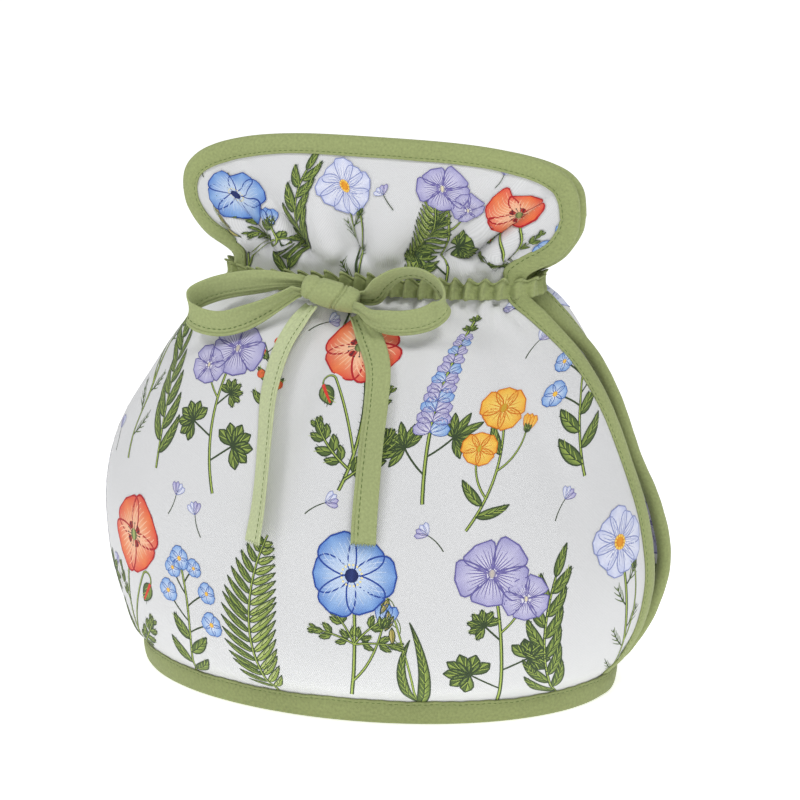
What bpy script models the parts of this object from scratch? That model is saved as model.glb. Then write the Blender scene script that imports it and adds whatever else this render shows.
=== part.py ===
"""Muff tea cosy: two padded cotton panels bound in bias tape, gathered at the neck and stood on a bound hem.

Metres, +Z up. X runs from the spout side (-X) to the handle side (+X), and the tied front faces -Y.
The origin is on the surface that the hem rests on, at the middle of the cosy's box.
"""

import math

import bmesh
import bpy
import numpy as np
from mathutils import Vector
from mathutils.bvhtree import BVHTree

MM = 0.001

# Cloth and tape.
PANEL_THICK = 3.0 * MM
TAPE_THICK = 0.65 * MM
FIT_GAP = 0.3 * MM
FOLD_ROOM = 0.5 * MM
EDGE_ROOM = 0.75 * MM
NECK_BUNCHING = 0.6 * MM
BINDING_WIDE = 8.4 * MM
BINDING_LIP = 1.5 * MM
BINDING_ROUND = 0.1 * MM
SQUARE_FROM_ROW = 11.0
SQUARE_ROWS = 1.5
PANEL_COLUMNS = 28

# The rounds are drawn about the neck's axis, and every piece then moves so that the box's middle is the origin.
BOX_MIDDLE_TO_ORIGIN = (-2.923 * MM, 1.899 * MM, 0.0)

# Hem band.
HEM_TALL = 10.0 * MM
HEM_FLOOR = 0.9 * MM
HEM_ROUND = 1.2 * MM
HEM_STEPS = 60
SIDE_BINDING_START = 10.4 * MM

# Neck casing.
CASING_LOW = 165.4 * MM
CASING_TALL = 10.4 * MM
CASING_THICK = 2.8 * MM
CASING_STAND_OFF = 4.3 * MM
RUFFLES = 40
RUFFLE_STEPS = 4
RUFFLE_DEPTH = 1.9 * MM
RUFFLE_RISE = 1.5 * MM

# Tie tape.
TIE_WIDE = 10.4 * MM
TIE_THICK = 1.2 * MM
LOOP_STEPS = 34
KNOT_CENTRE = (-7.6 * MM, -34.1 * MM, 166.4 * MM)
KNOT_LONG = 24.0 * MM
KNOT_TALL = 12.4 * MM
KNOT_DEEP = 10.4 * MM
KNOT_END = 0.72
KNOT_TILT = math.radians(-13.0)

# Frill corners, as superellipse powers on each side.
CORNER_SPOUT = 2.7
CORNER_HANDLE = 3.4
BACK_FRILL_DROP = 4.0 * MM

# One row for each level of the cosy, in mm. Rows 10 and 11 are the neck and the last row is the frill's top,
# whose middle stands "crown" above its ends. "tuck" draws in the back panel's handle side, and "flat" turns
# the round of the body into the two leaves of the frill.
LEVELS = (
    "height", "crown", "to_spout", "to_handle", "tuck", "depth",
    "handle_edge", "spout_edge", "spout_edge_back", "flat",
)
SECTIONS = (
    (1.5, 0.0, 98.5, 98.5, 0.0, 70.0, 1.8, 1.8, 1.8, 0.0),
    (10.6, 0.0, 99.8, 100.0, 0.0, 71.5, 1.8, 1.8, 1.8, 0.0),
    (20.0, 0.0, 106.0, 108.0, 0.0, 79.0, 3.0, 2.2, 3.0, 0.0),
    (36.0, 0.0, 110.5, 116.5, 0.0, 85.5, 6.5, 3.0, 6.5, 0.0),
    (56.0, 0.0, 113.5, 120.5, 0.0, 87.5, 8.5, 3.5, 9.0, 0.0),
    (78.0, 0.0, 114.0, 117.0, 1.0, 85.5, 7.0, 3.0, 13.0, 0.0),
    (100.0, 0.0, 108.5, 109.5, 3.0, 78.0, 6.0, -2.0, 17.0, 0.0),
    (122.0, 0.0, 95.5, 101.5, 2.5, 66.0, 7.0, -5.5, 20.0, 0.0),
    (142.0, 0.0, 82.5, 91.0, 1.0, 49.0, 8.5, -5.0, 18.0, 0.0),
    (157.0, 0.0, 70.5, 77.5, 0.0, 31.5, 8.0, 1.5, 12.0, 0.0),
    (165.5, 0.0, 62.5, 68.5, 0.0, 21.5, 6.8, 6.0, 6.8, 0.0),
    (175.5, 0.0, 62.0, 68.0, 0.0, 20.5, 6.0, 6.0, 6.0, 0.0),
    (183.0, 1.0, 73.5, 78.5, 0.0, 20.5, 4.2, 4.2, 4.2, 0.8),
    (191.5, 7.0, 80.5, 84.5, 0.0, 17.5, 3.5, 3.5, 3.5, 1.0),
    (199.0, 26.0, 82.5, 85.5, 0.0, 7.4, 3.3, 3.3, 3.3, 1.0),
)
NECK_LOW_ROW = 10
NECK_TOP_ROW = 11
TOP_ROW = 14

# One row for each gathered fold: its place across the panel (-1 at the spout edge, 1 at the handle edge),
# how far it leans outward by the end of its reach, how deep it is above and below the neck in mm, how many
# rows it reaches each way, and its half width across the panel.
FOLDS = ("across", "lean", "deep_above", "deep_below", "reach_above", "reach_below", "half_width")
FRONT_FOLDS = (
    (-0.76, 0.01, -2.4, -1.3, 1.7, 2.4, 0.050),
    (-0.58, -0.06, -3.6, -1.8, 2.3, 2.8, 0.060),
    (-0.40, -0.03, -2.6, -2.0, 1.9, 3.0, 0.060),
    (-0.22, 0.04, -2.0, -2.4, 1.6, 3.6, 0.060),
    (0.00, -0.02, -3.2, -2.8, 2.2, 4.2, 0.065),
    (0.22, 0.03, -2.4, -2.0, 1.7, 3.2, 0.055),
    (0.44, 0.08, -3.4, -1.8, 2.3, 2.6, 0.065),
    (0.61, 0.03, -2.6, -1.6, 1.8, 2.4, 0.060),
    (0.77, 0.00, -2.2, -1.2, 1.5, 2.2, 0.050),
)
BACK_FOLDS = (
    (-0.75, 0.01, -2.4, -1.3, 1.8, 2.4, 0.050),
    (-0.56, -0.06, -3.4, -1.9, 2.2, 3.0, 0.065),
    (-0.31, 0.02, -2.4, -2.2, 1.7, 3.4, 0.060),
    (-0.08, -0.02, -3.2, -2.4, 2.2, 3.8, 0.065),
    (0.16, 0.05, -2.4, -2.0, 1.8, 3.0, 0.060),
    (0.38, 0.02, -3.2, -2.2, 2.2, 3.4, 0.060),
    (0.60, 0.03, -2.8, -1.7, 1.9, 2.6, 0.065),
    (0.77, 0.00, -2.2, -1.2, 1.6, 2.2, 0.050),
)

# Centre line of each loop of the tie tape, in mm, with the lean of the tape's width from upright in degrees
# (positive leans its top edge towards the front). Each loop starts and ends at the knot.
LOOP_POINTS = ("x", "y", "z", "lean")
LEFT_LOOP = (
    (-21.2, -33.0, 170.9, 10.0),
    (-35.0, -32.4, 171.0, 6.0),
    (-52.0, -30.0, 167.8, 2.0),
    (-65.0, -29.0, 163.8, 0.0),
    (-71.3, -32.0, 158.9, -4.0),
    (-70.3, -37.4, 154.6, -6.0),
    (-62.0, -40.2, 152.2, -6.0),
    (-50.0, -41.0, 152.6, -4.0),
    (-36.5, -40.0, 158.2, 2.0),
    (-21.5, -36.6, 167.4, 8.0),
)
RIGHT_LOOP = (
    (5.2, -32.4, 165.8, 10.0),
    (10.0, -33.4, 167.2, 26.0),
    (14.6, -34.8, 172.8, 42.0),
    (22.0, -35.8, 177.6, 54.0),
    (31.5, -36.4, 178.4, 50.0),
    (39.5, -37.6, 173.8, 30.0),
    (42.2, -40.0, 167.4, 12.0),
    (36.5, -42.6, 162.0, 4.0),
    (25.5, -44.0, 159.4, 2.0),
    (13.5, -42.4, 159.4, 6.0),
    (5.8, -37.6, 162.0, 10.0),
)

# Each free tail from the knot down the front: across and height in mm, and how far it stands off the cloth.
TAIL_POINTS = ("x", "z", "off")
LEFT_TAIL = (
    (-15.4, 160.9, 9.0),
    (-19.4, 154.8, 8.4),
    (-22.6, 145.6, 7.4),
    (-23.3, 132.0, 6.6),
    (-22.8, 117.6, 6.0),
    (-22.3, 102.6, 5.6),
    (-21.8, 89.4, 5.4),
    (-21.6, 77.2, 5.4),
)
RIGHT_TAIL = (
    (2.6, 158.0, 3.6),
    (8.0, 153.6, 4.0),
    (18.2, 143.4, 4.8),
    (22.8, 131.0, 4.8),
    (24.6, 117.6, 4.4),
    (25.8, 102.6, 3.9),
    (26.4, 89.4, 3.6),
    (26.8, 80.0, 3.6),
)

GREEN = (0.36, 0.46, 0.16, 1.0)
TIE_GREEN = (0.47, 0.58, 0.26, 1.0)
COTTON = (0.80, 0.81, 0.84, 1.0)


def clear_scene():
    for item in list(bpy.data.objects):
        bpy.data.objects.remove(item, do_unlink=True)


def make_collection(name):
    collection = bpy.data.collections.new(name)
    bpy.context.scene.collection.children.link(collection)
    return collection


def make_material(name, colour, roughness):
    material = bpy.data.materials.new(name)
    material.use_nodes = True
    shader = material.node_tree.nodes["Principled BSDF"]
    shader.inputs["Base Color"].default_value = colour
    shader.inputs["Roughness"].default_value = roughness
    shader.inputs["Metallic"].default_value = 0.0
    return material


def through_rows(values, row):
    """Smooth value at a fractional row of a table column (Catmull-Rom through its rows)."""
    values = np.asarray(values, float)
    last = len(values) - 1
    row = np.clip(np.asarray(row, float), 0.0, last)
    low = np.minimum(np.floor(row).astype(int), last - 1)
    part = row - low
    before = values[np.maximum(low - 1, 0)]
    start = values[low]
    end = values[low + 1]
    after = values[np.minimum(low + 2, last)]
    cubic = 3.0 * (start - end) + after - before
    square = 2.0 * before - 5.0 * start + 4.0 * end - after
    return start + 0.5 * part * ((end - before) + part * (square + part * cubic))


def level(name, row):
    column = LEVELS.index(name)
    return through_rows([line[column] for line in SECTIONS], row) * MM


def smooth_step(value):
    value = np.clip(value, 0.0, 1.0)
    return value * value * (3.0 - 2.0 * value)


def fold_depth(folds, across, row):
    """Depth of the gathers, outward positive, at a place on a panel."""
    total = np.zeros(np.broadcast(across, row).shape)
    above = np.maximum(row - NECK_TOP_ROW, 0.0)
    below = np.maximum(NECK_LOW_ROW - row, 0.0)
    for line in folds:
        fold = dict(zip(FOLDS, line))
        share_above = above / fold["reach_above"]
        share_below = below / fold["reach_below"]
        swell_above = smooth_step(above / 0.5) * smooth_step(1.0 - share_above)
        swell_below = smooth_step(below / 0.7) * smooth_step(1.0 - share_below)
        centre = fold["across"] + fold["lean"] * (share_above + share_below)
        width = fold["half_width"] * (1.0 + 0.5 * (share_above + share_below))
        shape = np.exp(-(((across - centre) / width) ** 2))
        depth = fold["deep_above"] * swell_above + fold["deep_below"] * swell_below
        total += depth * shape
    return total * MM


def plain_surface(side, across, row):
    """Middle surface of a panel before its gathers: side is -1 for the front and 1 for the back."""
    across, row = np.broadcast_arrays(np.asarray(across, float), np.asarray(row, float))
    depth = level("depth", row)
    to_handle = level("to_handle", row) - (level("tuck", row) if side > 0 else 0.0)
    to_spout = level("to_spout", row)
    spout_edge = level("spout_edge_back" if side > 0 else "spout_edge", row)
    handle_edge = level("handle_edge", row)
    flat = level("flat", row) / MM
    handle_end = np.arcsin(handle_edge / depth)
    spout_end = np.arcsin(spout_edge / depth)
    to_edge = 0.5 * math.pi - np.where(across > 0.0, handle_end, spout_end)
    angle = 0.5 * math.pi - across * to_edge
    top_angle = 0.5 * math.pi * (1.0 - across)
    power = np.where(across > 0.0, 2.0 / CORNER_HANDLE, 2.0 / CORNER_SPOUT)
    crown_share = level("crown", row) / (SECTIONS[TOP_ROW][1] * MM)
    rounded = np.sign(across) * np.abs(np.cos(top_angle)) ** power
    leaf = (1.0 - crown_share) * across + crown_share * rounded
    edge = np.where(across > 0.0, handle_edge, spout_edge)
    wide = np.where(across > 0.0, to_handle, to_spout)
    crown = level("crown", row) - (BACK_FRILL_DROP * crown_share if side > 0 else 0.0)
    x = wide * ((1.0 - flat) * np.cos(angle) + flat * leaf)
    y = (1.0 - flat) * depth * np.sin(angle) + flat * (edge + (depth - edge) * (1.0 - across**2))
    z = level("height", row) + crown * np.abs(np.sin(top_angle)) ** power
    return np.stack([x, side * y, z], -1)


def outward(surface, across, row):
    """Unit normal of a surface function, away from the cosy's inside."""
    step = 0.01
    left = np.clip(across - step, -1.0, 1.0)
    right = np.clip(across + step, -1.0, 1.0)
    low = np.clip(row - step, 0.0, TOP_ROW)
    high = np.clip(row + step, 0.0, TOP_ROW)
    normal = np.cross(surface(right, row) - surface(left, row), surface(across, high) - surface(across, low))
    return normal / np.linalg.norm(normal, axis=-1, keepdims=True)


def panel_surface(side, folds):
    """Surface function of a finished panel, with its gathers."""
    def bare(across, row):
        return plain_surface(side, across, row)

    def gathered(across, row):
        across, row = np.broadcast_arrays(np.asarray(across, float), np.asarray(row, float))
        normal = -side * outward(bare, across, row)
        return bare(across, row) + normal * fold_depth(folds, across, row)[..., None]

    return gathered


def panel_rows():
    """Rows where the panel's mesh has its vertices, closer together at the neck and in the frill."""
    body = np.linspace(1.0, NECK_LOW_ROW - 1.8, 10)[:-1]
    neck = np.linspace(NECK_LOW_ROW - 1.8, NECK_TOP_ROW + 1.0, 10)[:-1]
    frill = np.linspace(NECK_TOP_ROW + 1.0, TOP_ROW, 6)
    return np.concatenate([[0.0], body, neck, frill])


def add_object(name, mesh, material, collection):
    item = bpy.data.objects.new(name, mesh)
    item.location = BOX_MIDDLE_TO_ORIGIN
    mesh.materials.append(material)
    collection.objects.link(item)
    return item


def grid_mesh(name, points, flip):
    """Open quad sheet through a grid of points."""
    rows, columns = points.shape[:2]
    faces = []
    for j in range(rows - 1):
        for i in range(columns - 1):
            corner = j * columns + i
            face = (corner, corner + 1, corner + columns + 1, corner + columns)
            faces.append(face[::-1] if flip else face)
    mesh = bpy.data.meshes.new(name)
    mesh.from_pydata(points.reshape(-1, 3).tolist(), [], faces)
    return mesh


def swept_mesh(name, rings, closed):
    """Closed skin over a run of equal cross sections; an open run gets a cap at each end."""
    count, sides = rings.shape[:2]
    faces = []
    for k in range(count if closed else count - 1):
        here = k * sides
        there = ((k + 1) % count) * sides
        for i in range(sides):
            j = (i + 1) % sides
            faces.append((here + i, here + j, there + j, there + i))
    if not closed:
        faces.append(tuple(range(sides))[::-1])
        faces.append(tuple((count - 1) * sides + i for i in range(sides)))
    mesh = bpy.data.meshes.new(name)
    mesh.from_pydata(rings.reshape(-1, 3).tolist(), [], faces)
    skin = bmesh.new()
    skin.from_mesh(mesh)
    bmesh.ops.recalc_face_normals(skin, faces=skin.faces)
    skin.to_mesh(mesh)
    skin.free()
    return mesh


def build_panel(name, side, folds, material, collection):
    surface = panel_surface(side, folds)
    across = np.linspace(-1.0, 1.0, PANEL_COLUMNS + 1)
    points = surface(across[None, :], panel_rows()[:, None])
    mesh = grid_mesh(name, points, side > 0)
    mesh.shade_smooth()
    item = add_object(name, mesh, material, collection)
    padding = item.modifiers.new("Padding", "SOLIDIFY")
    padding.thickness = PANEL_THICK
    padding.offset = 0.0
    return item


def edge_stations(surface):
    """Panel-edge places, as (across, row), up the handle side, over the top and down the spout side."""
    rows = panel_rows()[1:]
    heights = surface(np.ones(len(rows)), rows)[:, 2]
    rows[0] += (SIDE_BINDING_START - heights[0]) / (heights[1] - heights[0]) * (rows[1] - rows[0])
    across = np.linspace(1.0, -1.0, PANEL_COLUMNS + 1)
    up = [(1.0, row) for row in rows]
    over = [(place, float(TOP_ROW)) for place in across[1:-1]]
    down = [(-1.0, row) for row in rows[::-1]]
    return np.array(up + over + down)


def cloth_tree(surface, across, rows):
    """Search tree of a panel's middle surface over a grid of places."""
    points = surface(across[None, :], rows[:, None])
    columns = len(across)
    faces = [
        (j * columns + i, j * columns + i + 1, (j + 1) * columns + i + 1, (j + 1) * columns + i)
        for j in range(len(rows) - 1) for i in range(columns - 1)
    ]
    return BVHTree.FromPolygons(points.reshape(-1, 3).tolist(), faces)


def inset_place(surface, cloth, station, inward, distance):
    """Place on the cloth at a distance in from its edge: along the row on the sides, square in at the top."""
    across, row = station
    point = surface(across, row)
    square = np.array(cloth.find_nearest(Vector(point + inward * distance))[0])
    turned = smooth_step((row - SQUARE_FROM_ROW) / SQUARE_ROWS) if abs(across) == 1.0 else 1.0
    share = 0.02
    for _ in range(4):
        reach = surface(across * (1.0 - share), row) - point
        share *= distance / max(reach @ inward, 0.1 * distance)
        share = min(share, 0.3)
    level_place = surface(across * (1.0 - share), row)
    place = level_place + (square - level_place) * turned
    return np.array(cloth.find_nearest(Vector(place))[0])


def build_binding(name, side, folds, material, collection):
    """Bias binding folded round a panel's two sides and top, as one U-shaped strip."""
    surface = panel_surface(side, folds)
    cloth = cloth_tree(surface, np.linspace(-1.0, 1.0, PANEL_COLUMNS + 1), panel_rows())
    smooth = cloth_tree(surface, np.linspace(-1.0, 1.0, 4 * PANEL_COLUMNS + 1), np.linspace(0.0, TOP_ROW, 90))
    stations = edge_stations(surface)
    edge = np.array([surface(*station) for station in stations])
    tangent = np.gradient(edge, axis=0)
    tangent /= np.linalg.norm(tangent, axis=1, keepdims=True)

    def laid(station, inward, distance):
        spot = inset_place(surface, cloth, station, inward, distance)
        return spot, np.array(smooth.find_nearest(Vector(spot))[1]) * -side

    rings = []
    for station, point, along in zip(stations, edge, tangent):
        bunched = smooth_step(1.0 - abs(station[1] - 0.5 * (NECK_LOW_ROW + NECK_TOP_ROW) - 0.3) / 2.6)
        inner_half = 0.5 * PANEL_THICK + FOLD_ROOM + NECK_BUNCHING * min(1.6 * bunched, 1.0)
        outer_half = inner_half + TAPE_THICK
        normal = np.array(smooth.find_nearest(Vector(point))[1]) * -side
        inward = np.cross(normal, along) * -side
        inward -= normal * inward.dot(normal)
        inward /= np.linalg.norm(inward)
        middle, middle_normal = laid(station, inward, 0.5 * BINDING_WIDE)
        inner, inner_normal = laid(station, inward, BINDING_WIDE)
        shoulder = point - inward * BINDING_ROUND
        fold = point - inward * BINDING_LIP
        pocket = point - inward * EDGE_ROOM
        rings.append([
            inner + inner_normal * outer_half,
            middle + middle_normal * outer_half,
            shoulder + normal * outer_half,
            fold + normal * 0.5 * outer_half,
            fold - normal * 0.5 * outer_half,
            shoulder - normal * outer_half,
            middle - middle_normal * outer_half,
            inner - inner_normal * outer_half,
            inner - inner_normal * inner_half,
            middle - middle_normal * inner_half,
            pocket - normal * inner_half,
            pocket + normal * inner_half,
            middle + middle_normal * inner_half,
            inner + inner_normal * inner_half,
        ])
    rings = np.array(rings)
    for end in (0, -1):
        drop = SIDE_BINDING_START - rings[end, :, 2]
        rings[end] += tangent[end] * (drop / tangent[end][2])[:, None]
    mesh = swept_mesh(name, rings, False)
    mesh.shade_smooth()
    return add_object(name, mesh, material, collection)


def round_section(row, angle):
    """Point and outward level normal on the whole round of the cosy at a row."""
    wide = np.where(np.cos(angle) > 0.0, level("to_handle", row), level("to_spout", row))
    depth = level("depth", row)
    point = np.stack([wide * np.cos(angle), depth * np.sin(angle), level("height", row) + 0.0 * angle], -1)
    normal = np.stack([depth * np.cos(angle), wide * np.sin(angle), 0.0 * angle], -1)
    return point, normal / np.linalg.norm(normal, axis=-1, keepdims=True)


def even_angles(row, count):
    """Angles round a row that stand an even distance apart along the cloth."""
    fine = np.linspace(0.0, 2.0 * math.pi, 721)
    points = round_section(row, fine)[0]
    run = np.concatenate([[0.0], np.cumsum(np.linalg.norm(np.diff(points, axis=0), axis=1))])
    return np.interp(np.arange(count) / count * run[-1], run, fine)


def build_hem_band(material, collection):
    """Doubled band folded up round the bottom edge of both panels, flat where it stands."""
    angle = even_angles(0.5, HEM_STEPS)
    low, normal = round_section(0.0, angle)
    high = round_section(1.0, angle)[0]
    inner_half = 0.5 * PANEL_THICK + FOLD_ROOM
    outer_half = inner_half + TAPE_THICK

    def at(share, offset, height):
        point = low + (high - low) * share + normal * offset
        point[:, 2] = height
        return point

    rings = np.stack([
        at(1.0, outer_half, HEM_TALL),
        at(0.5, outer_half, 0.5 * HEM_TALL),
        at(0.1, outer_half, HEM_ROUND),
        at(0.0, outer_half - HEM_ROUND, 0.0),
        at(0.0, -outer_half + HEM_ROUND, 0.0),
        at(0.1, -outer_half, HEM_ROUND),
        at(1.0, -outer_half, HEM_TALL),
        at(1.0, -inner_half, HEM_TALL),
        at(0.0, -inner_half, HEM_FLOOR),
        at(0.0, inner_half, HEM_FLOOR),
        at(1.0, inner_half, HEM_TALL),
    ], 1)
    mesh = swept_mesh("hem_band", rings, True)
    mesh.shade_smooth()
    return add_object("hem_band", mesh, material, collection)


def build_casing(material, collection):
    """Ruffled drawstring casing sewn round the neck, over the panels and their bindings."""
    count = RUFFLES * RUFFLE_STEPS
    angle = even_angles(NECK_LOW_ROW, count)
    phase = np.arange(count) * 2.0 * math.pi / RUFFLE_STEPS
    wave = RUFFLE_DEPTH * np.cos(phase)
    rise = RUFFLE_RISE * np.cos(phase)
    wander = 0.35 * np.sin(np.arange(count) * 0.37) + 0.25 * np.sin(np.arange(count) * 0.11 + 1.0)
    wave = wave * (1.0 + wander)

    def at(share, stand_off, lift):
        row = NECK_LOW_ROW + share * (NECK_TOP_ROW - NECK_LOW_ROW)
        point, normal = round_section(row, angle)
        point = point + normal * (CASING_STAND_OFF + stand_off)[:, None]
        point[:, 2] = CASING_LOW + share * CASING_TALL + lift
        return point

    still = np.zeros(count)
    half = 0.5 * CASING_THICK
    rings = np.stack([
        at(0.06, still, still),
        at(0.90, still, still),
        at(1.00, half + 0.5 * wave, rise),
        at(0.78, 2.0 * half + wave, 0.5 * rise),
        at(0.22, 2.0 * half + 0.7 * wave, -0.3 * rise),
        at(0.00, half + 0.4 * wave, -0.6 * rise),
    ], 1)
    mesh = swept_mesh("neck_casing", rings, True)
    mesh.shade_smooth()
    return add_object("neck_casing", mesh, material, collection)


def tape_run(points, steps):
    """Centre line, width direction and face direction of a run of tape."""
    rows = np.linspace(0.0, len(points) - 1.0, steps)
    place = np.stack([through_rows([p[k] for p in points], rows) for k in range(3)], 1) * MM
    lean = np.radians(through_rows([p[3] for p in points], rows))
    tangent = np.gradient(place, axis=0)
    tangent /= np.linalg.norm(tangent, axis=1, keepdims=True)
    width = np.stack([0.0 * lean, -np.sin(lean), np.cos(lean)], 1)
    width -= tangent * np.sum(width * tangent, 1, keepdims=True)
    width /= np.linalg.norm(width, axis=1, keepdims=True)
    return place, width, np.cross(tangent, width)


def tape_rings(place, width, face, wide):
    """Cross sections of a flat tape of even thickness with eased edges along a centre line."""
    half = 0.5 * TIE_THICK
    wide = np.broadcast_to(np.asarray(wide, float), (len(place),))[:, None] * 0.5
    return np.stack([
        place + width * wide,
        place + width * wide * 0.9 + face * half,
        place - width * wide * 0.9 + face * half,
        place - width * wide,
        place - width * wide * 0.9 - face * half,
        place + width * wide * 0.9 - face * half,
    ], 1)


def build_loop(name, points, material, collection):
    place, width, face = tape_run(points, LOOP_STEPS)
    steps = np.arange(LOOP_STEPS)
    pinch = 0.55 + 0.45 * smooth_step(np.minimum(steps, steps[::-1]) / 6.0)
    rings = tape_rings(place, width, face, TIE_WIDE * pinch)
    axis, _ = knot_axes()
    out = axis * math.copysign(1.0, place[0][0] - KNOT_CENTRE[0])
    seat = np.array(KNOT_CENTRE) + out * (0.5 * KNOT_LONG + FIT_GAP)
    for end, after in ((0, 1), (-1, -2)):
        rings[end] += out * ((seat - rings[end]) @ out)[:, None]
        rings[after] += out * np.maximum((seat + out * FIT_GAP - rings[after]) @ out, 0.0)[:, None]
    mesh = swept_mesh(name, rings, False)
    mesh.shade_smooth()
    return add_object(name, mesh, material, collection)


def build_tail(name, points, slant, material, collection):
    """Free tape end that hangs from the knot down the front, its width across the body."""
    steps = 22
    row = np.linspace(0.0, len(points) - 1.0, steps)
    x, z, off = (through_rows([p[k] for p in points], row) * MM for k in range(3))
    place = np.stack([x, front_of_cloth(x, z) - off, z], 1)
    tangent = np.gradient(place, axis=0)
    tangent /= np.linalg.norm(tangent, axis=1, keepdims=True)
    side = np.array([math.cos(slant), math.sin(slant), 0.0])
    width = side - tangent * (tangent @ side)[:, None]
    width /= np.linalg.norm(width, axis=1, keepdims=True)
    pinch = 0.6 + 0.4 * smooth_step(np.arange(steps) / 5.0)
    mesh = swept_mesh(name, tape_rings(place, width, np.cross(tangent, width), TIE_WIDE * pinch), False)
    mesh.shade_smooth()
    return add_object(name, mesh, material, collection)


def front_of_cloth(x, z):
    """Depth place of the front panel's middle surface below the neck, without its gathers."""
    rows = np.linspace(1.0, NECK_LOW_ROW, 91)
    row = np.interp(z, level("height", rows), rows)
    wide = np.where(x > 0.0, level("to_handle", row), level("to_spout", row))
    return -level("depth", row) * np.sqrt(1.0 - (x / wide) ** 2)


def knot_axes():
    """Directions along the knot and up across it."""
    axis = np.array([math.cos(KNOT_TILT), 0.0, math.sin(KNOT_TILT)])
    lift = np.array([-math.sin(KNOT_TILT), 0.0, math.cos(KNOT_TILT)])
    return axis, lift


def build_knot(material, collection):
    """Knot of the bow: tape wrapped round the crossing, with flat ends where the loops come out."""
    steps, sides = 13, 16
    axis, lift = knot_axes()
    front = np.array([0.0, -1.0, 0.0])
    turn = np.arange(sides) * 2.0 * math.pi / sides
    rings = []
    for place in np.linspace(-1.0, 1.0, steps):
        swell = KNOT_END + (1.0 - KNOT_END) * math.sqrt(max(1.0 - abs(place) ** 2.4, 0.0))
        crease = 1.0 - 0.10 * math.exp(-(((place - 0.36) / 0.12) ** 2))
        tall = 0.5 * KNOT_TALL * swell * crease
        deep = 0.5 * KNOT_DEEP * swell * crease
        middle = np.array(KNOT_CENTRE) + axis * place * 0.5 * KNOT_LONG
        rings.append([middle + lift * tall * math.cos(t) + front * deep * math.sin(t) for t in turn])
    mesh = swept_mesh("tie_knot", np.array(rings), False)
    mesh.shade_smooth()
    return add_object("tie_knot", mesh, material, collection)


clear_scene()
parts = make_collection("tea_cosy")
panel_cotton = make_material("printed_cotton", COTTON, 0.85)
binding_cotton = make_material("binding_cotton", GREEN, 0.88)
tie_cotton = make_material("tie_cotton", TIE_GREEN, 0.88)

build_panel("front_panel", -1, FRONT_FOLDS, panel_cotton, parts)
build_panel("back_panel", 1, BACK_FOLDS, panel_cotton, parts)
build_binding("front_binding", -1, FRONT_FOLDS, binding_cotton, parts)
build_binding("back_binding", 1, BACK_FOLDS, binding_cotton, parts)
build_hem_band(binding_cotton, parts)
build_casing(binding_cotton, parts)
build_knot(tie_cotton, parts)
build_loop("tie_loop_left", LEFT_LOOP, tie_cotton, parts)
build_loop("tie_loop_right", RIGHT_LOOP, tie_cotton, parts)
build_tail("tie_tail_left", LEFT_TAIL, math.radians(-38.0), tie_cotton, parts)
build_tail("tie_tail_right", RIGHT_TAIL, math.radians(0.0), tie_cotton, parts)
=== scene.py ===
"""Dress of a muff tea cosy: printed padded panels, green bindings and hem, a gathered neck and a tied bow."""
import math

import bpy
import numpy as np
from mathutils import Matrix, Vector
from mathutils.bvhtree import BVHTree


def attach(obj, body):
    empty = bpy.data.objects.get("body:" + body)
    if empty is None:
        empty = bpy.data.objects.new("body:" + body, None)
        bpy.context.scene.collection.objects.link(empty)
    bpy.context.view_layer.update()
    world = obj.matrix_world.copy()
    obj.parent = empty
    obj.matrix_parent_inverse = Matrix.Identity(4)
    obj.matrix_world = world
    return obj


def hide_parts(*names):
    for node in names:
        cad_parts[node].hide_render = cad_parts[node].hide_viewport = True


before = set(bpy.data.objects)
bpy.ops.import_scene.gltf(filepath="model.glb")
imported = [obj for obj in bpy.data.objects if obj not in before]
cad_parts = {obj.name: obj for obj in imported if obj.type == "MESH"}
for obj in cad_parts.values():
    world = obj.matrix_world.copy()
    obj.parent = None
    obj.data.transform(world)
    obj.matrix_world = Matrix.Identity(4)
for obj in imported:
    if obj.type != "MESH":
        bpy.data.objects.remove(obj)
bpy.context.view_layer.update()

# ---------------------------------------------------------------- View and light
# The cosy stands on a pale table in a white studio. The camera looks a little down on its front,
# from the handle side, and two broad soft lamps stand left and right of it, so its folds shade to both sides.
LOOKED_AT = Vector((-0.0029, 0.0019, 0.110))
CAMERA_LENS = 174.5
FRAME_SIDE = 800
COSY_MIDDLE = (378, 411)
# Degrees to the side, degrees up and metres away from what is looked at. A lamp's last value is its watts.
CAMERA_PLACE = (20.0, 15.0, 1.6)
LAMPS = {"left_lamp": (-52.0, 50.0, 1.5, 5.2), "right_lamp": (58.0, 58.0, 1.5, 7.1)}
LAMP_WIDE = 0.5
ROOM_WHITE = (0.97, 0.98, 1.0, 1.0)
ROOM_LIGHT = 0.43
TABLE_HALF = 3.0
TABLE_GLOW = 0.62


def facing_cosy(name, data, azimuth, elevation, far):
    """Camera or lamp that looks at the cosy from its place."""
    azimuth, elevation = math.radians(azimuth), math.radians(elevation)
    level_reach = math.cos(elevation)
    back = Vector((math.sin(azimuth) * level_reach, -math.cos(azimuth) * level_reach, math.sin(elevation)))
    item = bpy.data.objects.new(name, data)
    item.rotation_mode = "QUATERNION"
    item.rotation_quaternion = back.to_track_quat("Z", "Y")
    item.location = LOOKED_AT + back * far
    bpy.context.scene.collection.objects.link(item)
    return item


lens = bpy.data.cameras.new("studio_camera")
lens.sensor_width = 36.0
lens.lens = CAMERA_LENS
lens.shift_x = (0.5 * FRAME_SIDE - COSY_MIDDLE[0]) / FRAME_SIDE
lens.shift_y = (COSY_MIDDLE[1] - 0.5 * FRAME_SIDE) / FRAME_SIDE
bpy.context.scene.camera = facing_cosy("studio_camera", lens, *CAMERA_PLACE)

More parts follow.
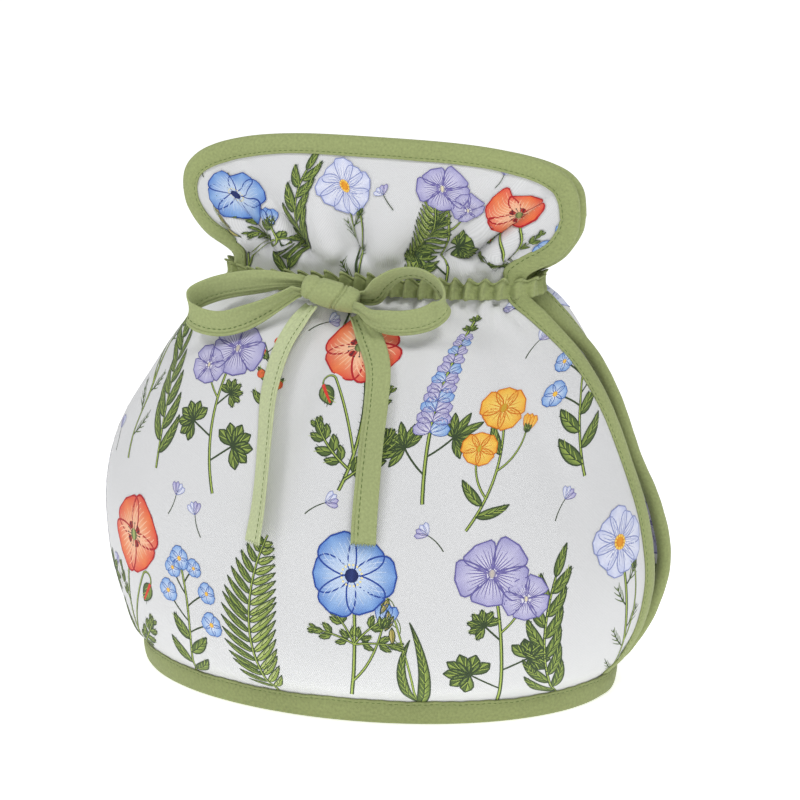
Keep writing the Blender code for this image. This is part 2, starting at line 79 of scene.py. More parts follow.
for lamp_name, (*place, watts) in LAMPS.items():
    lamp = bpy.data.lights.new(lamp_name, "AREA")
    lamp.shape = "DISK"
    lamp.size = LAMP_WIDE
    lamp.energy = watts
    facing_cosy(lamp_name, lamp, *place)

room = bpy.data.worlds.new("white_room")
room.use_nodes = True
room.node_tree.nodes["Background"].inputs["Color"].default_value = ROOM_WHITE
room.node_tree.nodes["Background"].inputs["Strength"].default_value = ROOM_LIGHT
bpy.context.scene.world = room
bpy.context.scene.view_settings.view_transform = "Standard"

table_paint = bpy.data.materials.new("pale_table")
table_paint.use_nodes = True
for title, value in {
    "Base Color": (0.95, 0.95, 0.95, 1.0), "Roughness": 0.7,
    "Emission Color": (1.0, 1.0, 1.0, 1.0), "Emission Strength": TABLE_GLOW,
}.items():
    table_paint.node_tree.nodes["Principled BSDF"].inputs[title].default_value = value
table_top = bpy.data.meshes.new("table_top")
table_corners = [(x * TABLE_HALF, y * TABLE_HALF, 0.0) for x, y in ((-1, -1), (1, -1), (1, 1), (-1, 1))]
table_top.from_pydata(table_corners, [], [(0, 1, 2, 3)])
table_top.materials.append(table_paint)
table = bpy.data.objects.new("table_top", table_top)
bpy.context.scene.collection.objects.link(table)

# ---------------------------------------------------------------- The two printed panels
# Each panel is two layers of off-white cotton twill with thin wadding between them, about 3 mm thick. It runs
# from the hem over the belly to the gathered neck, and opens out above it as one leaf of the frill.
# The rounds are drawn in mm about the neck's axis, which stands a little off the middle of the cosy's box.
MM = 0.001
AXIS_PLACE = np.array([-2.923, 1.899, 0.0])
PANEL_HALF = 1.5
PANEL_SWELL = 0.75
BINDING_WIDE = 8.4
HEM_TALL = 10.0
GRID_ROWS = 184
GRID_COLUMNS = 197
TOP_ROW = 14
NECK_LOW_ROW = 10
NECK_TOP_ROW = 11
CORNER_SPOUT = 2.7
CORNER_HANDLE = 3.4
BACK_FRILL_DROP = 4.0
WADDING_RISE = 9.0
FLAT_AT_NECK = 0.65
NECK_MIDDLE_ROW = 10.5
# Small stitched-in ripples above and below the casing: share of full depth, row, half reach in rows.
# They fade out towards the bindings.
RIPPLES = ((0.6, 11.3, 0.7), (1.0, 9.55, 0.5))
RIPPLE_PACE = 0.76
RIPPLE_FADE = 6.0
GATHERED_FROM_ROW = 8.6
GATHERED_ROWS = 0.8

# Rounds of the cosy from hem to rim, in mm: height, rise of a leaf's top edge, reach to the spout and to the
# handle, how far the back is tucked in at the handle, half depth, how far the panels' side edges stand off
# the middle plane, and the share by which the round is flattened into two leaves.
LEVELS = (
    "height", "crown", "to_spout", "to_handle", "tuck", "depth",
    "handle_edge", "spout_edge", "spout_edge_back", "flat",
)
SECTIONS = (
    (1.5, 0.0, 98.5, 98.5, 0.0, 70.0, 1.8, 1.8, 1.8, 0.0),
    (10.6, 0.0, 99.8, 100.0, 0.0, 71.5, 1.8, 1.8, 1.8, 0.0),
    (20.0, 0.0, 106.0, 108.0, 0.0, 79.0, 3.0, 2.2, 3.0, 0.0),
    (36.0, 0.0, 110.5, 116.5, 0.0, 85.5, 6.5, 3.0, 6.5, 0.0),
    (56.0, 0.0, 113.5, 120.5, 0.0, 87.5, 8.5, 3.5, 9.0, 0.0),
    (78.0, 0.0, 114.0, 117.0, 1.0, 85.5, 7.0, 3.0, 13.0, 0.0),
    (100.0, 0.0, 108.5, 109.5, 3.0, 78.0, 6.0, -2.0, 17.0, 0.0),
    (122.0, 0.0, 95.5, 101.5, 2.5, 66.0, 7.0, -5.5, 20.0, 0.0),
    (142.0, 0.0, 82.5, 91.0, 1.0, 49.0, 8.5, -5.0, 18.0, 0.0),
    (157.0, 0.0, 70.5, 77.5, 0.0, 31.5, 8.0, 1.5, 12.0, 0.0),
    (165.5, 0.0, 62.5, 68.5, 0.0, 21.5, 6.8, 6.0, 6.8, 0.0),
    (175.5, 0.0, 62.0, 68.0, 0.0, 20.5, 6.0, 6.0, 6.0, 0.0),
    (183.0, 1.0, 73.5, 78.5, 0.0, 20.5, 4.2, 4.2, 4.2, 0.8),
    (191.5, 7.0, 80.5, 84.5, 0.0, 17.5, 3.5, 3.5, 3.5, 1.0),
    (199.0, 26.0, 82.5, 85.5, 0.0, 7.4, 3.3, 3.3, 3.3, 1.0),
)

# Gathered folds: place across the panel, lean, depth above and below the neck in mm, rows reached each way.
FOLDS = ("across", "lean", "deep_above", "deep_below", "reach_above", "reach_below", "half_width")
FRONT_FOLDS = (
    (-0.80, -0.02, -4.0, -1.6, 2.0, 2.4, 0.045),
    (-0.66, -0.08, 2.6, 0.6, 2.4, 2.0, 0.055),
    (-0.53, -0.16, -7.6, -2.2, 3.2, 2.8, 0.062),
    (-0.41, -0.12, 3.2, 0.7, 2.4, 2.2, 0.050),
    (-0.28, -0.22, -8.4, -2.4, 3.5, 3.0, 0.062),
    (-0.12, -0.08, 3.8, 0.8, 2.5, 2.0, 0.055),
    (0.00, -0.09, -8.4, -2.8, 3.5, 4.2, 0.062),
    (0.13, 0.02, 2.6, 0.7, 2.4, 2.4, 0.055),
    (0.24, 0.04, -4.6, -2.0, 2.2, 3.2, 0.045),
    (0.38, 0.10, -6.8, -1.8, 3.2, 2.8, 0.062),
    (0.51, 0.24, -8.6, -2.4, 3.6, 2.6, 0.058),
    (0.61, 0.16, 3.8, 0.9, 2.6, 2.0, 0.050),
    (0.72, 0.06, -4.6, -1.8, 2.2, 2.4, 0.045),
    (0.86, 0.02, -2.6, -1.0, 1.8, 2.2, 0.042),
)
BACK_FOLDS = (
    (-0.80, 0.00, -4.0, -1.5, 2.0, 2.4, 0.045),
    (-0.62, -0.12, -7.4, -2.2, 3.2, 3.0, 0.062),
    (-0.47, -0.08, 3.4, 0.8, 2.4, 2.2, 0.050),
    (-0.33, -0.06, -5.4, -2.2, 2.6, 3.4, 0.050),
    (-0.10, 0.08, -8.2, -2.6, 3.5, 3.8, 0.062),
    (0.04, 0.05, 3.4, 0.8, 2.4, 2.2, 0.050),
    (0.17, 0.12, -5.8, -2.0, 2.7, 3.0, 0.050),
    (0.38, 0.04, -7.2, -2.2, 3.2, 3.4, 0.062),
    (0.50, 0.06, 3.0, 0.7, 2.2, 2.0, 0.050),
    (0.63, 0.16, -7.2, -2.0, 3.3, 2.6, 0.060),
    (0.80, 0.00, -3.8, -1.4, 1.9, 2.2, 0.045),
)

# Soft troughs and ridges of the padded cloth: place across, row, lean across for each row, half width across,
# half reach in rows, and depth in mm (negative is a trough).
CREASES = ("across", "row", "lean", "half_width", "half_reach", "deep")
FRONT_CREASES = (
    (-0.64, 7.2, 0.020, 0.060, 1.5, -1.5),
    (-0.45, 6.6, -0.020, 0.080, 1.9, 1.0),
    (-0.06, 7.5, 0.012, 0.050, 1.7, -2.2),
    (0.10, 5.6, 0.010, 0.060, 1.3, -1.5),
    (0.24, 7.6, -0.020, 0.055, 1.3, -1.3),
    (0.42, 6.2, -0.035, 0.100, 2.1, 0.9),
    (0.62, 7.0, -0.045, 0.060, 1.8, -1.6),
    (-0.72, 3.0, 0.060, 0.090, 1.2, -1.2),
    (-0.28, 3.6, 0.040, 0.070, 1.1, -0.9),
    (0.30, 2.6, 0.050, 0.110, 0.9, -0.8),
    (-0.70, 12.5, -0.040, 0.050, 0.7, 1.8),
    (-0.52, 12.7, -0.050, 0.055, 0.9, -2.2),
    (-0.16, 12.8, 0.045, 0.060, 0.9, 1.6),
    (0.30, 12.4, 0.070, 0.060, 0.8, -2.0),
    (0.56, 12.8, 0.110, 0.055, 0.8, 1.9),
    (0.68, 12.9, 0.100, 0.045, 0.7, -1.6),
)
BACK_CREASES = (
    (-0.50, 7.2, 0.030, 0.070, 1.7, -1.6),
    (-0.05, 6.8, -0.020, 0.065, 2.0, -1.4),
    (0.28, 7.3, -0.030, 0.075, 1.7, 1.0),
    (0.55, 6.8, -0.040, 0.065, 1.9, -1.6),
    (-0.30, 2.8, -0.040, 0.110, 1.0, -0.9),
    (0.44, 3.2, 0.050, 0.090, 1.0, -0.9),
    (-0.40, 12.6, -0.050, 0.055, 0.9, -2.0),
    (0.05, 12.8, 0.030, 0.060, 0.9, 1.7),
    (0.48, 12.6, 0.060, 0.055, 0.8, -2.1),
    (1.00, 11.4, 0.000, 0.100, 0.7, 2.4),
    (1.00, 9.1, 0.000, 0.100, 1.1, -4.5),
    (0.78, 9.0, 0.000, 0.110, 0.9, 6.2),
    (0.85, 5.6, 0.000, 0.085, 2.3, -5.0),
    (1.00, 5.6, 0.000, 0.060, 2.3, 2.5),
)


def through_rows(values, row):
    """Smooth value at a fractional row of a table column (Catmull-Rom through its rows)."""
    values = np.asarray(values, float)
    last = len(values) - 1
    row = np.clip(np.asarray(row, float), 0.0, last)
    low = np.minimum(np.floor(row).astype(int), last - 1)
    part = row - low
    before = values[np.maximum(low - 1, 0)]
    start = values[low]
    end = values[low + 1]
    after = values[np.minimum(low + 2, last)]
    cubic = 3.0 * (start - end) + after - before
    square = 2.0 * before - 5.0 * start + 4.0 * end - after
    return start + 0.5 * part * ((end - before) + part * (square + part * cubic))


def column_at(table, columns, name, row):
    return through_rows([line[columns.index(name)] for line in table], row)


def level(name, row):
    return column_at(SECTIONS, LEVELS, name, row)


def smooth_step(value):
    value = np.clip(value, 0.0, 1.0)
    return value * value * (3.0 - 2.0 * value)


def hump(value, middle, half_width):
    """Soft bell, 1 at its middle, which is down to a third at its half width."""
    return np.exp(-(((value - middle) / half_width) ** 2))


def unit(vectors):
    return vectors / np.linalg.norm(vectors, axis=-1, keepdims=True)


def fold_depth(folds, across, row):
    total = np.zeros(np.broadcast(across, row).shape)
    above = np.maximum(row - NECK_TOP_ROW, 0.0)
    below = np.maximum(NECK_LOW_ROW - row, 0.0)
    for line in folds:
        fold = dict(zip(FOLDS, line))
        share_above = above / fold["reach_above"]
        share_below = below / fold["reach_below"]
        swell_above = smooth_step(above / 0.9) * smooth_step(1.0 - share_above)
        swell_below = smooth_step(below / 0.7) * smooth_step(1.0 - share_below)
        centre = fold["across"] + fold["lean"] * (share_above + share_below)
        width = fold["half_width"] * (1.0 + 0.5 * (share_above + share_below))
        deep = fold["deep_above"] * swell_above + fold["deep_below"] * swell_below
        total += deep * hump(across, centre, width)
    return total


def crease_depth(creases, across, row):
    total = np.zeros(np.broadcast(across, row).shape)
    for line in creases:
        crease = dict(zip(CREASES, line))
        centre = crease["across"] + crease["lean"] * (row - crease["row"])
        along = hump(row, crease["row"], crease["half_reach"])
        total += crease["deep"] * along * hump(across, centre, crease["half_width"])
    return total


def plain_surface(side, across, row):
    """Middle surface of a panel before its gathers: side is -1 for the front and 1 for the back."""
    across, row = np.broadcast_arrays(np.asarray(across, float), np.asarray(row, float))
    depth = level("depth", row)
    to_handle = level("to_handle", row) - (level("tuck", row) if side > 0 else 0.0)
    spout_edge = level("spout_edge_back" if side > 0 else "spout_edge", row)
    handle_edge = level("handle_edge", row)
    flat = level("flat", row)
    handle_end = np.arcsin(handle_edge / depth)
    spout_end = np.arcsin(spout_edge / depth)
    to_edge = 0.5 * math.pi - np.where(across > 0.0, handle_end, spout_end)
    angle = 0.5 * math.pi - across * to_edge
    top_angle = 0.5 * math.pi * (1.0 - across)
    power = np.where(across > 0.0, 2.0 / CORNER_HANDLE, 2.0 / CORNER_SPOUT)
    crown_share = level("crown", row) / SECTIONS[TOP_ROW][1]
    rounded = np.sign(across) * np.abs(np.cos(top_angle)) ** power
    leaf = (1.0 - crown_share) * across + crown_share * rounded
    edge = np.where(across > 0.0, handle_edge, spout_edge)
    wide = np.where(across > 0.0, to_handle, level("to_spout", row))
    crown = level("crown", row) - (BACK_FRILL_DROP * crown_share if side > 0 else 0.0)
    x = wide * ((1.0 - flat) * np.cos(angle) + flat * leaf)
    y = (1.0 - flat) * depth * np.sin(angle) + flat * (edge + (depth - edge) * (1.0 - across**2))
    z = level("height", row) + crown * np.abs(np.sin(top_angle)) ** power
    return np.stack([x, side * y, z], -1)


def outward(side, across, row):
    """Unit normal of a panel's plain surface, away from the cosy's inside."""
    step = 0.01
    left = np.clip(across - step, -1.0, 1.0)
    right = np.clip(across + step, -1.0, 1.0)
    low = np.clip(row - step, 0.0, TOP_ROW)
    high = np.clip(row + step, 0.0, TOP_ROW)
    wise = plain_surface(side, right, row) - plain_surface(side, left, row)
    upward = plain_surface(side, across, high) - plain_surface(side, across, low)
    return unit(np.cross(wise, upward) * -side)


def gathered_surface(side, folds, creases, across, row):
    across, row = np.broadcast_arrays(np.asarray(across, float), np.asarray(row, float))
    lift = fold_depth(folds, across, row) + crease_depth(creases, across, row)
    return plain_surface(side, across, row) + outward(side, across, row) * lift[..., None]


def run_along(points, axis):
    """Length along a grid of points from its first line, down one axis of the grid."""
    steps = np.linalg.norm(np.diff(points, axis=axis), axis=-1)
    start = np.zeros_like(np.take(steps, [0], axis=axis))
    return np.concatenate([start, np.cumsum(steps, axis=axis)], axis=axis)


def grid_normals(points, side):
    return unit(np.cross(np.gradient(points, axis=1), np.gradient(points, axis=0)) * -side)


def lay_out_panel(side, folds, creases):
    """Grids of a panel: its middle, outer and inner faces, its places on the flat cloth, and masks."""
    fine = np.linspace(0.0, TOP_ROW, 1401)
    spine = run_along(plain_surface(side, 0.0, fine), 0)
    rows = np.interp(np.linspace(0.0, spine[-1], GRID_ROWS), spine, fine)[:, None]
    across = np.linspace(-1.0, 1.0, GRID_COLUMNS)[None, :]
    middle = gathered_surface(side, folds, creases, across, rows)
    normal = grid_normals(middle, side)
    wise = run_along(middle, 1)
    wise = wise - wise[:, [GRID_COLUMNS // 2]]
    upward = run_along(middle, 0)
    to_side = np.where(across > 0.0, wise[:, [-1]] - wise, wise - wise[:, [0]])
    to_top = upward[[-1], :] - upward
    to_rim = np.minimum(np.minimum(to_side, to_top), upward - HEM_TALL + BINDING_WIDE)
    plump = smooth_step((to_rim - BINDING_WIDE) / WADDING_RISE)
    swell = PANEL_SWELL * plump * (1.0 - FLAT_AT_NECK * hump(rows, NECK_MIDDLE_ROW, 1.1))
    near_neck = sum(share * hump(rows, row, reach) for share, row, reach in RIPPLES)
    unevenness = 0.70 + 0.35 * np.sin(wise * 0.47 + 1.0)
    ripple = np.sin(wise * RIPPLE_PACE + 1.3 * np.sin(wise * 0.21)) * unevenness
    away = smooth_step((to_side - BINDING_WIDE) / RIPPLE_FADE)
    lift = (swell + ripple * near_neck * away)[..., None]
    gathered = smooth_step((rows - GATHERED_FROM_ROW) / GATHERED_ROWS)
    return {
        "side": side, "rows": rows, "middle": middle, "normal": normal,
        "outer": middle + normal * (PANEL_HALF + lift), "inner": middle - normal * (PANEL_HALF + 0.4 * lift),
        "wise": wise, "upward": upward, "to_rim": to_rim,
        "bent": np.clip(near_neck + gathered, 0.0, 1.0) + 0.0 * wise,
    }


def grid_faces(rows, columns, first=0, flip=False):
    """Quads of a grid of points that starts at an index."""
    j, i = np.meshgrid(np.arange(rows - 1), np.arange(columns - 1), indexing="ij")
    corner = (first + j * columns + i).ravel()
    faces = np.stack([corner, corner + 1, corner + columns + 1, corner + columns], 1)
    return faces[:, ::-1] if flip else faces


def rim_faces(rows, columns, second, flip=False):
    """Quads that join the rims of two like grids, the second of which starts at an index."""
    bottom = np.arange(columns)
    right = np.arange(rows) * columns + columns - 1
    top = (rows - 1) * columns + np.arange(columns)[::-1]
    left = np.arange(rows)[::-1] * columns
    ring = np.concatenate([bottom[:-1], right[:-1], top[:-1], left[:-1]])
    after = np.roll(ring, -1)
    faces = np.stack([ring, ring + second, after + second, after], 1)
    return faces[:, ::-1] if flip else faces


def make_piece(name, points, faces, flat, material, node=None):
    """Smooth mesh from points in mm, fixed to the cosy; flat gives its places on the flat cloth."""
    mesh = bpy.data.meshes.new(name)
    points = (np.asarray(points).reshape(-1, 3) + AXIS_PLACE) * MM
    mesh.from_pydata(points.tolist(), [], [tuple(face) for face in faces])
    mesh.shade_smooth()
    if flat is not None:
        corners = np.empty(len(mesh.loops), int)
        mesh.loops.foreach_get("vertex_index", corners)
        mesh.uv_layers.new(name="flat_cloth").data.foreach_set("uv", (flat * MM)[corners].ravel())
    mesh.materials.append(material)
    item = bpy.data.objects.new(name, mesh)
    bpy.context.scene.collection.objects.link(item)
    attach(item, "root")
    if node:
        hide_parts(node)
    return item


def new_group(name, inputs, outputs):
    """Shader node group, with colour inputs where a default is a colour and float inputs elsewhere."""
    group = bpy.data.node_groups.new(name, "ShaderNodeTree")
    for title, value in inputs.items():
        kind = "NodeSocketColor" if isinstance(value, tuple) else "NodeSocketFloat"
        group.interface.new_socket(title, in_out="INPUT", socket_type=kind).default_value = value
    for title, kind in outputs.items():
        group.interface.new_socket(title, in_out="OUTPUT", socket_type=kind)
    return group, group.nodes.new("NodeGroupInput"), group.nodes.new("NodeGroupOutput")


def set_inputs(tree, node, values):
    """Gives a node's inputs, by index or name, their plain values or links."""
    for key, value in dict(values).items():
        if isinstance(value, bpy.types.NodeSocket):
            tree.links.new(value, node.inputs[key])
        else:
            node.inputs[key].default_value = value


def add_node(tree, kind, values=(), **settings):
    node = tree.nodes.new(kind)
    for name, value in settings.items():
        setattr(node, name, value)
    set_inputs(tree, node, values)
    return node


def maths(tree, operation, *values):
    return add_node(tree, "ShaderNodeMath", enumerate(values), operation=operation).outputs[0]


def build_weave_group():
    """Twisted threads of woven cloth: a fine height and a shade, as diagonal twill or plain weave. The shade
    is painted shade, darker in the grooves between threads, mixed with the yarn's random unevenness.
    """
    group, given, given_back = new_group(
        "woven_threads",
        {"Threads per metre": 1100.0, "Twill": 1.0, "Roughness of yarn": 0.35},
        {"Height": "NodeSocketFloat", "Shade": "NodeSocketFloat"},
    )
    flat = add_node(group, "ShaderNodeTexCoord").outputs["UV"]
    wander = add_node(group, "ShaderNodeTexNoise", {"Vector": flat, "Scale": 420.0, "Detail": 1.0})
    split = add_node(group, "ShaderNodeSeparateXYZ", {"Vector": flat})
    count = maths(group, "MULTIPLY", given.outputs["Threads per metre"], 2.0 * math.pi)
    shift = maths(group, "MULTIPLY", wander.outputs["Fac"], 2.2)
    warp = maths(group, "ADD", maths(group, "MULTIPLY", split.outputs[0], count), shift)
    weft = maths(group, "ADD", maths(group, "MULTIPLY", split.outputs[1], count), shift)
    slope = maths(group, "ADD", maths(group, "MULTIPLY", warp, 0.95), maths(group, "MULTIPLY", weft, -0.55))
    twill = maths(group, "SINE", slope)
    check = maths(group, "MULTIPLY", maths(group, "SINE", warp), maths(group, "SINE", weft))
    kind = add_node(group, "ShaderNodeMix", {"Factor": given.outputs["Twill"], "A": check, "B": twill})
    yarn = add_node(group, "ShaderNodeTexNoise", {"Vector": flat, "Scale": 2600.0, "Detail": 2.0})
    rough = maths(group, "MULTIPLY", yarn.outputs["Fac"], given.outputs["Roughness of yarn"])
    height = maths(group, "ADD", maths(group, "MULTIPLY", kind.outputs[0], 0.5), rough)
    group.links.new(height, given_back.inputs["Height"])
    # Shade: painted shade of the thread relief, with lower threads darker, plus the yarn's random tone.
    shade = add_node(
        group, "ShaderNodeMapRange",
        {"Value": height, "From Min": -0.5, "From Max": 0.85, "To Min": 0.90, "To Max": 1.04},
    )
    group.links.new(shade.outputs[0], given_back.inputs["Shade"])
    return group


def build_tone_group():
    """Uneven dyeing and wear of a cloth: soft clouds and small slubs laid over a colour that is scaled by the
    weave's painted shade.
    """
    group, given, given_back = new_group(
        "cloth_tone",
        {"Cloth": (0.8, 0.8, 0.8, 1.0), "Shade": 1.0, "Clouds": 0.06, "Slubs": 0.06},
        {"Colour": "NodeSocketColor"},
    )
    place = add_node(group, "ShaderNodeTexCoord").outputs["Object"]
    flat = add_node(group, "ShaderNodeTexCoord").outputs["UV"]
    cloud = add_node(group, "ShaderNodeTexNoise", {"Vector": place, "Scale": 24.0, "Detail": 3.0})
    slub = add_node(group, "ShaderNodeTexNoise", {"Vector": flat, "Scale": 900.0, "Detail": 3.0})
    total = given.outputs["Shade"]
    for texture, share in ((cloud, given.outputs["Clouds"]), (slub, given.outputs["Slubs"])):
        centred = maths(group, "MULTIPLY", maths(group, "SUBTRACT", texture.outputs["Fac"], 0.5), 2.0)
        total = maths(group, "ADD", total, maths(group, "MULTIPLY", centred, share))
    tone = add_node(
        group, "ShaderNodeVectorMath", {0: given.outputs["Cloth"], "Scale": total}, operation="SCALE",
    )
    group.links.new(tone.outputs[0], given_back.inputs["Colour"])
    return group


weave_group = build_weave_group()
tone_group = build_tone_group()


def cloth_material(name, colour, weave, tone, bump, roughness, attribute=None):
    """Woven cotton: base colour (or a colour attribute's), weave and tone values, bump depth in mm."""
    material = bpy.data.materials.new(name)
    material.use_nodes = True
    tree = material.node_tree
    shader = tree.nodes["Principled BSDF"]
    if attribute:
        colour = add_node(tree, "ShaderNodeAttribute", attribute_name=attribute).outputs["Color"]
    threads = add_node(tree, "ShaderNodeGroup", weave, node_tree=weave_group)
    # The weave's painted shade darkens the cloth's colour in the grooves between threads.
    dye = {"Cloth": colour, "Shade": threads.outputs["Shade"], **tone}
    dyed = add_node(tree, "ShaderNodeGroup", dye, node_tree=tone_group)
    relief = {"Strength": 0.6, "Distance": bump * MM, "Height": threads.outputs["Height"]}
    set_inputs(tree, shader, {
        "Base Color": dyed.outputs["Colour"],
        "Normal": add_node(tree, "ShaderNodeBump", relief).outputs["Normal"],
        "Roughness": roughness, "Sheen Weight": 0.12, "Sheen Roughness": 0.5, "Specular IOR Level": 0.25,
    })
    return material


OFF_WHITE = (0.738, 0.741, 0.745, 1.0)
TWILL = {"Threads per metre": 1400.0, "Twill": 1.0, "Roughness of yarn": 0.35}
WHITE_TONE = {"Clouds": 0.03, "Slubs": 0.03}
panel_cotton = cloth_material("printed_cotton_ground", OFF_WHITE, TWILL, WHITE_TONE, 0.12, 0.88)


def build_panel(name, node, panel):
    """Closed padded shell of a panel: outer skin, inner skin and the raw edges between them."""
    rows, columns = panel["outer"].shape[:2]
    count = rows * columns
    points = np.concatenate([panel["outer"].reshape(-1, 3), panel["inner"].reshape(-1, 3)])
    front = panel["side"] < 0
    faces = np.concatenate([
        grid_faces(rows, columns, 0, not front),
        grid_faces(rows, columns, count, front),
        rim_faces(rows, columns, count, not front),
    ])
    flat = np.tile(np.stack([panel["wise"], panel["upward"]], -1).reshape(-1, 2), (2, 1))
    return make_piece(name, points, faces.tolist(), flat, panel_cotton, node)


front = lay_out_panel(-1, FRONT_FOLDS, FRONT_CREASES)
back = lay_out_panel(1, BACK_FOLDS, BACK_CREASES)
front_cloth = build_panel("front_panel_cloth", "front_panel", front)
back_cloth = build_panel("back_panel_cloth", "back_panel", back)

# ---------------------------------------------------------------- The printed flowers
# Meadow flowers, leaf sprays and small seed sprigs, screen printed on both faces of the panels in blue,
# mauve, orange, yellow and leaf green. They are drawn flat in mm, from simple strokes, and then laid on the
# cloth as a skin of ink a tenth of a millimetre thick. A place on the flat cloth is a complex number, x + yj.
INK_STEP = 1.5
INK_LIFT = 0.07
INK_LAYER = 0.022
INK_OVER_RIPPLES = 0.30
INK_UNDER_BINDING = 2.4
INK_ROUNDS = 3
FLAT_WIDE = 300.0
SEARCH_ROUNDS = 24
FARTHEST_MISS = 0.9

LEAF_DARK = (62, 78, 50)
LEAF_DEEP = (98, 118, 62)
LEAF_LIME = (170, 190, 92)
LEAF_PALE = (206, 216, 150)
GREEN_LEAF = (LEAF_LIME, LEAF_DEEP)
PALE_LEAF = (LEAF_PALE, LEAF_LIME)
RIPE_OAT = ((226, 206, 128), (186, 170, 88))

pen = {"place": 0j, "turn": 1.0 + 0j, "flip": False, "layer": 0.0}
ink = {"points": [], "colours": [], "layers": [], "faces": [], "count": 0}


def ink_band(left, right, root_tones, tip_tones=None, layer=0.0):
    """Inks the space between two lines; tones go from left to right, and from root to tip."""
    left, right = np.asarray(left), np.asarray(right)
    tip_tones = root_tones if tip_tones is None else tip_tones
    widest = float(np.abs(right - left).max()) * abs(pen["turn"])
    columns = max(len(root_tones), 2, 1 + math.ceil(widest / INK_STEP))
    share = np.linspace(0.0, 1.0, columns)
    points = left[:, None] * (1.0 - share) + right[:, None] * share
    points = pen["place"] + pen["turn"] * (np.conj(points) * -1.0 if pen["flip"] else points)
    stops = np.linspace(0.0, 1.0, len(root_tones))
    root = np.stack([np.interp(share, stops, [tone[k] for tone in root_tones]) for k in range(3)], 1)
    tip = np.stack([np.interp(share, stops, [tone[k] for tone in tip_tones]) for k in range(3)], 1)
    rows = len(left)
    up = np.linspace(0.0, 1.0, rows)[:, None, None]
    ink["points"].append(points.ravel())
    ink["colours"].append((root * (1.0 - up) + tip * up).reshape(-1, 3))
    ink["layers"].append(np.full(rows * columns, layer + pen["layer"]))
    ink["faces"].append(grid_faces(rows, columns, ink["count"]))
    ink["count"] += rows * columns


def tangent_of(line):
    step = np.gradient(line)
    return step / np.maximum(np.abs(step), 1e-9)


def bend(start, heading, length, curl=0.0, step=INK_STEP):
    """Line from a place with a heading in radians, turning by curl along its length."""
    count = max(4, int(length / step) + 1)
    turns = heading + curl * (np.arange(count - 1) + 0.5) / (count - 1)
    return start + np.concatenate([[0.0], np.cumsum(np.exp(1j * turns) * length / (count - 1))])


def ink_line(line, wide, tone, layer=0.0, taper=0.0):
    """Stroke of ink along a line, tapering to its end by a share."""
    half = 0.5 * wide * (1.0 - taper * np.linspace(0.0, 1.0, len(line)) ** 1.5)
    beside = tangent_of(line) * 1j * half
    ink_band(line + beside, line - beside, [tone, tone], None, layer)


def ink_dot(centre, radius, tone, rim=None, layer=0.0):
    turn = np.linspace(-0.5 * math.pi, 0.5 * math.pi, 7 if radius > 0.8 else 5)
    right = centre + radius * np.exp(1j * turn)
    left = centre + radius * np.exp(1j * (math.pi - turn))
    ink_band(left, right, [rim or tone, tone, rim or tone], None, layer)


def ink_stem(line, wide, layer=0.0):
    ink_line(line, wide, LEAF_DARK, layer, 0.25)
    ink_line(line + tangent_of(line) * 1j * wide * 0.06, wide * 0.42, LEAF_LIME, layer + 1.0, 0.3)
    return line


def up_stem(line, count, low, reach):
    """Places for leaves up a stem: number, share of its length, index on the line, and side by turns."""
    for k in range(count):
        share = low + reach * k / (count - 1)
        yield k, share, int(share * (len(line) - 1)), 1.0 if k % 2 else -1.0


def ink_leaf(start, heading, length, wide, curl=0.0, veins=4, full=0.8, layer=0.0, tones=GREEN_LEAF):
    """Pointed leaf with a light and a dark half, an outline, a midrib and side veins."""
    spine = bend(start, heading, length, curl, 1.6)
    share = np.linspace(0.0, 1.0, len(spine))
    half = 0.5 * wide * np.sin(math.pi * share**full) ** 0.85
    beside = tangent_of(spine) * 1j
    left, right = spine + beside * half, spine - beside * half
    light, deep = tones
    ink_band(left, spine, [deep, light], [LEAF_DEEP, light], layer)
    ink_band(spine, right, [deep, deep], [deep, LEAF_DARK], layer)
    outline = min(0.5, 0.13 * wide)
    ink_line(left, outline, LEAF_DARK, layer + 1.0)
    ink_line(right, outline, LEAF_DARK, layer + 1.0)
    ink_line(spine, outline * 0.9, LEAF_DARK, layer + 2.0, 0.6)
    for k in range(veins):
        place = int((0.16 + 0.68 * (k + 0.5) / veins) * (len(spine) - 1))
        for way in (1.0, -1.0):
            end = spine[min(place + 2, len(spine) - 1)] + way * beside[place] * half[place] * 0.78
            vein = np.linspace(spine[place], end, 3)
            ink_line(vein, outline * 0.7, LEAF_DARK if way > 0.0 else LEAF_LIME, layer + 2.0, 0.5)


def lobed_leaf(start, heading, length, wide, curl, lobes, layer=0.0):
    """Leaf cut into pairs of blunt lobes along its midrib, as on a poppy."""
    spine = bend(start, heading, length, curl)
    along = np.angle(tangent_of(spine))
    for _, share, place, _ in up_stem(spine, lobes, 0.2, 0.68):
        reach = 0.5 * wide * math.sin(math.pi * (0.18 + 0.72 * share)) ** 0.8
        for way in (1.0, -1.0):
            head = along[place] + way * (0.95 - 0.25 * share)
            ink_leaf(spine[place], head, reach, reach * 0.5, -way * 0.45, 1, 0.9, layer)
    last = spine[int(0.7 * (len(spine) - 1))]
    ink_leaf(last, along[-1], 0.36 * length, wide * 0.24, 0.0, 2, 0.85, layer + 1.0)
    ink_line(spine, wide * 0.085, LEAF_DARK, layer + 3.0, 0.5)
    ink_line(spine, wide * 0.030, LEAF_LIME, layer + 4.0, 0.5)


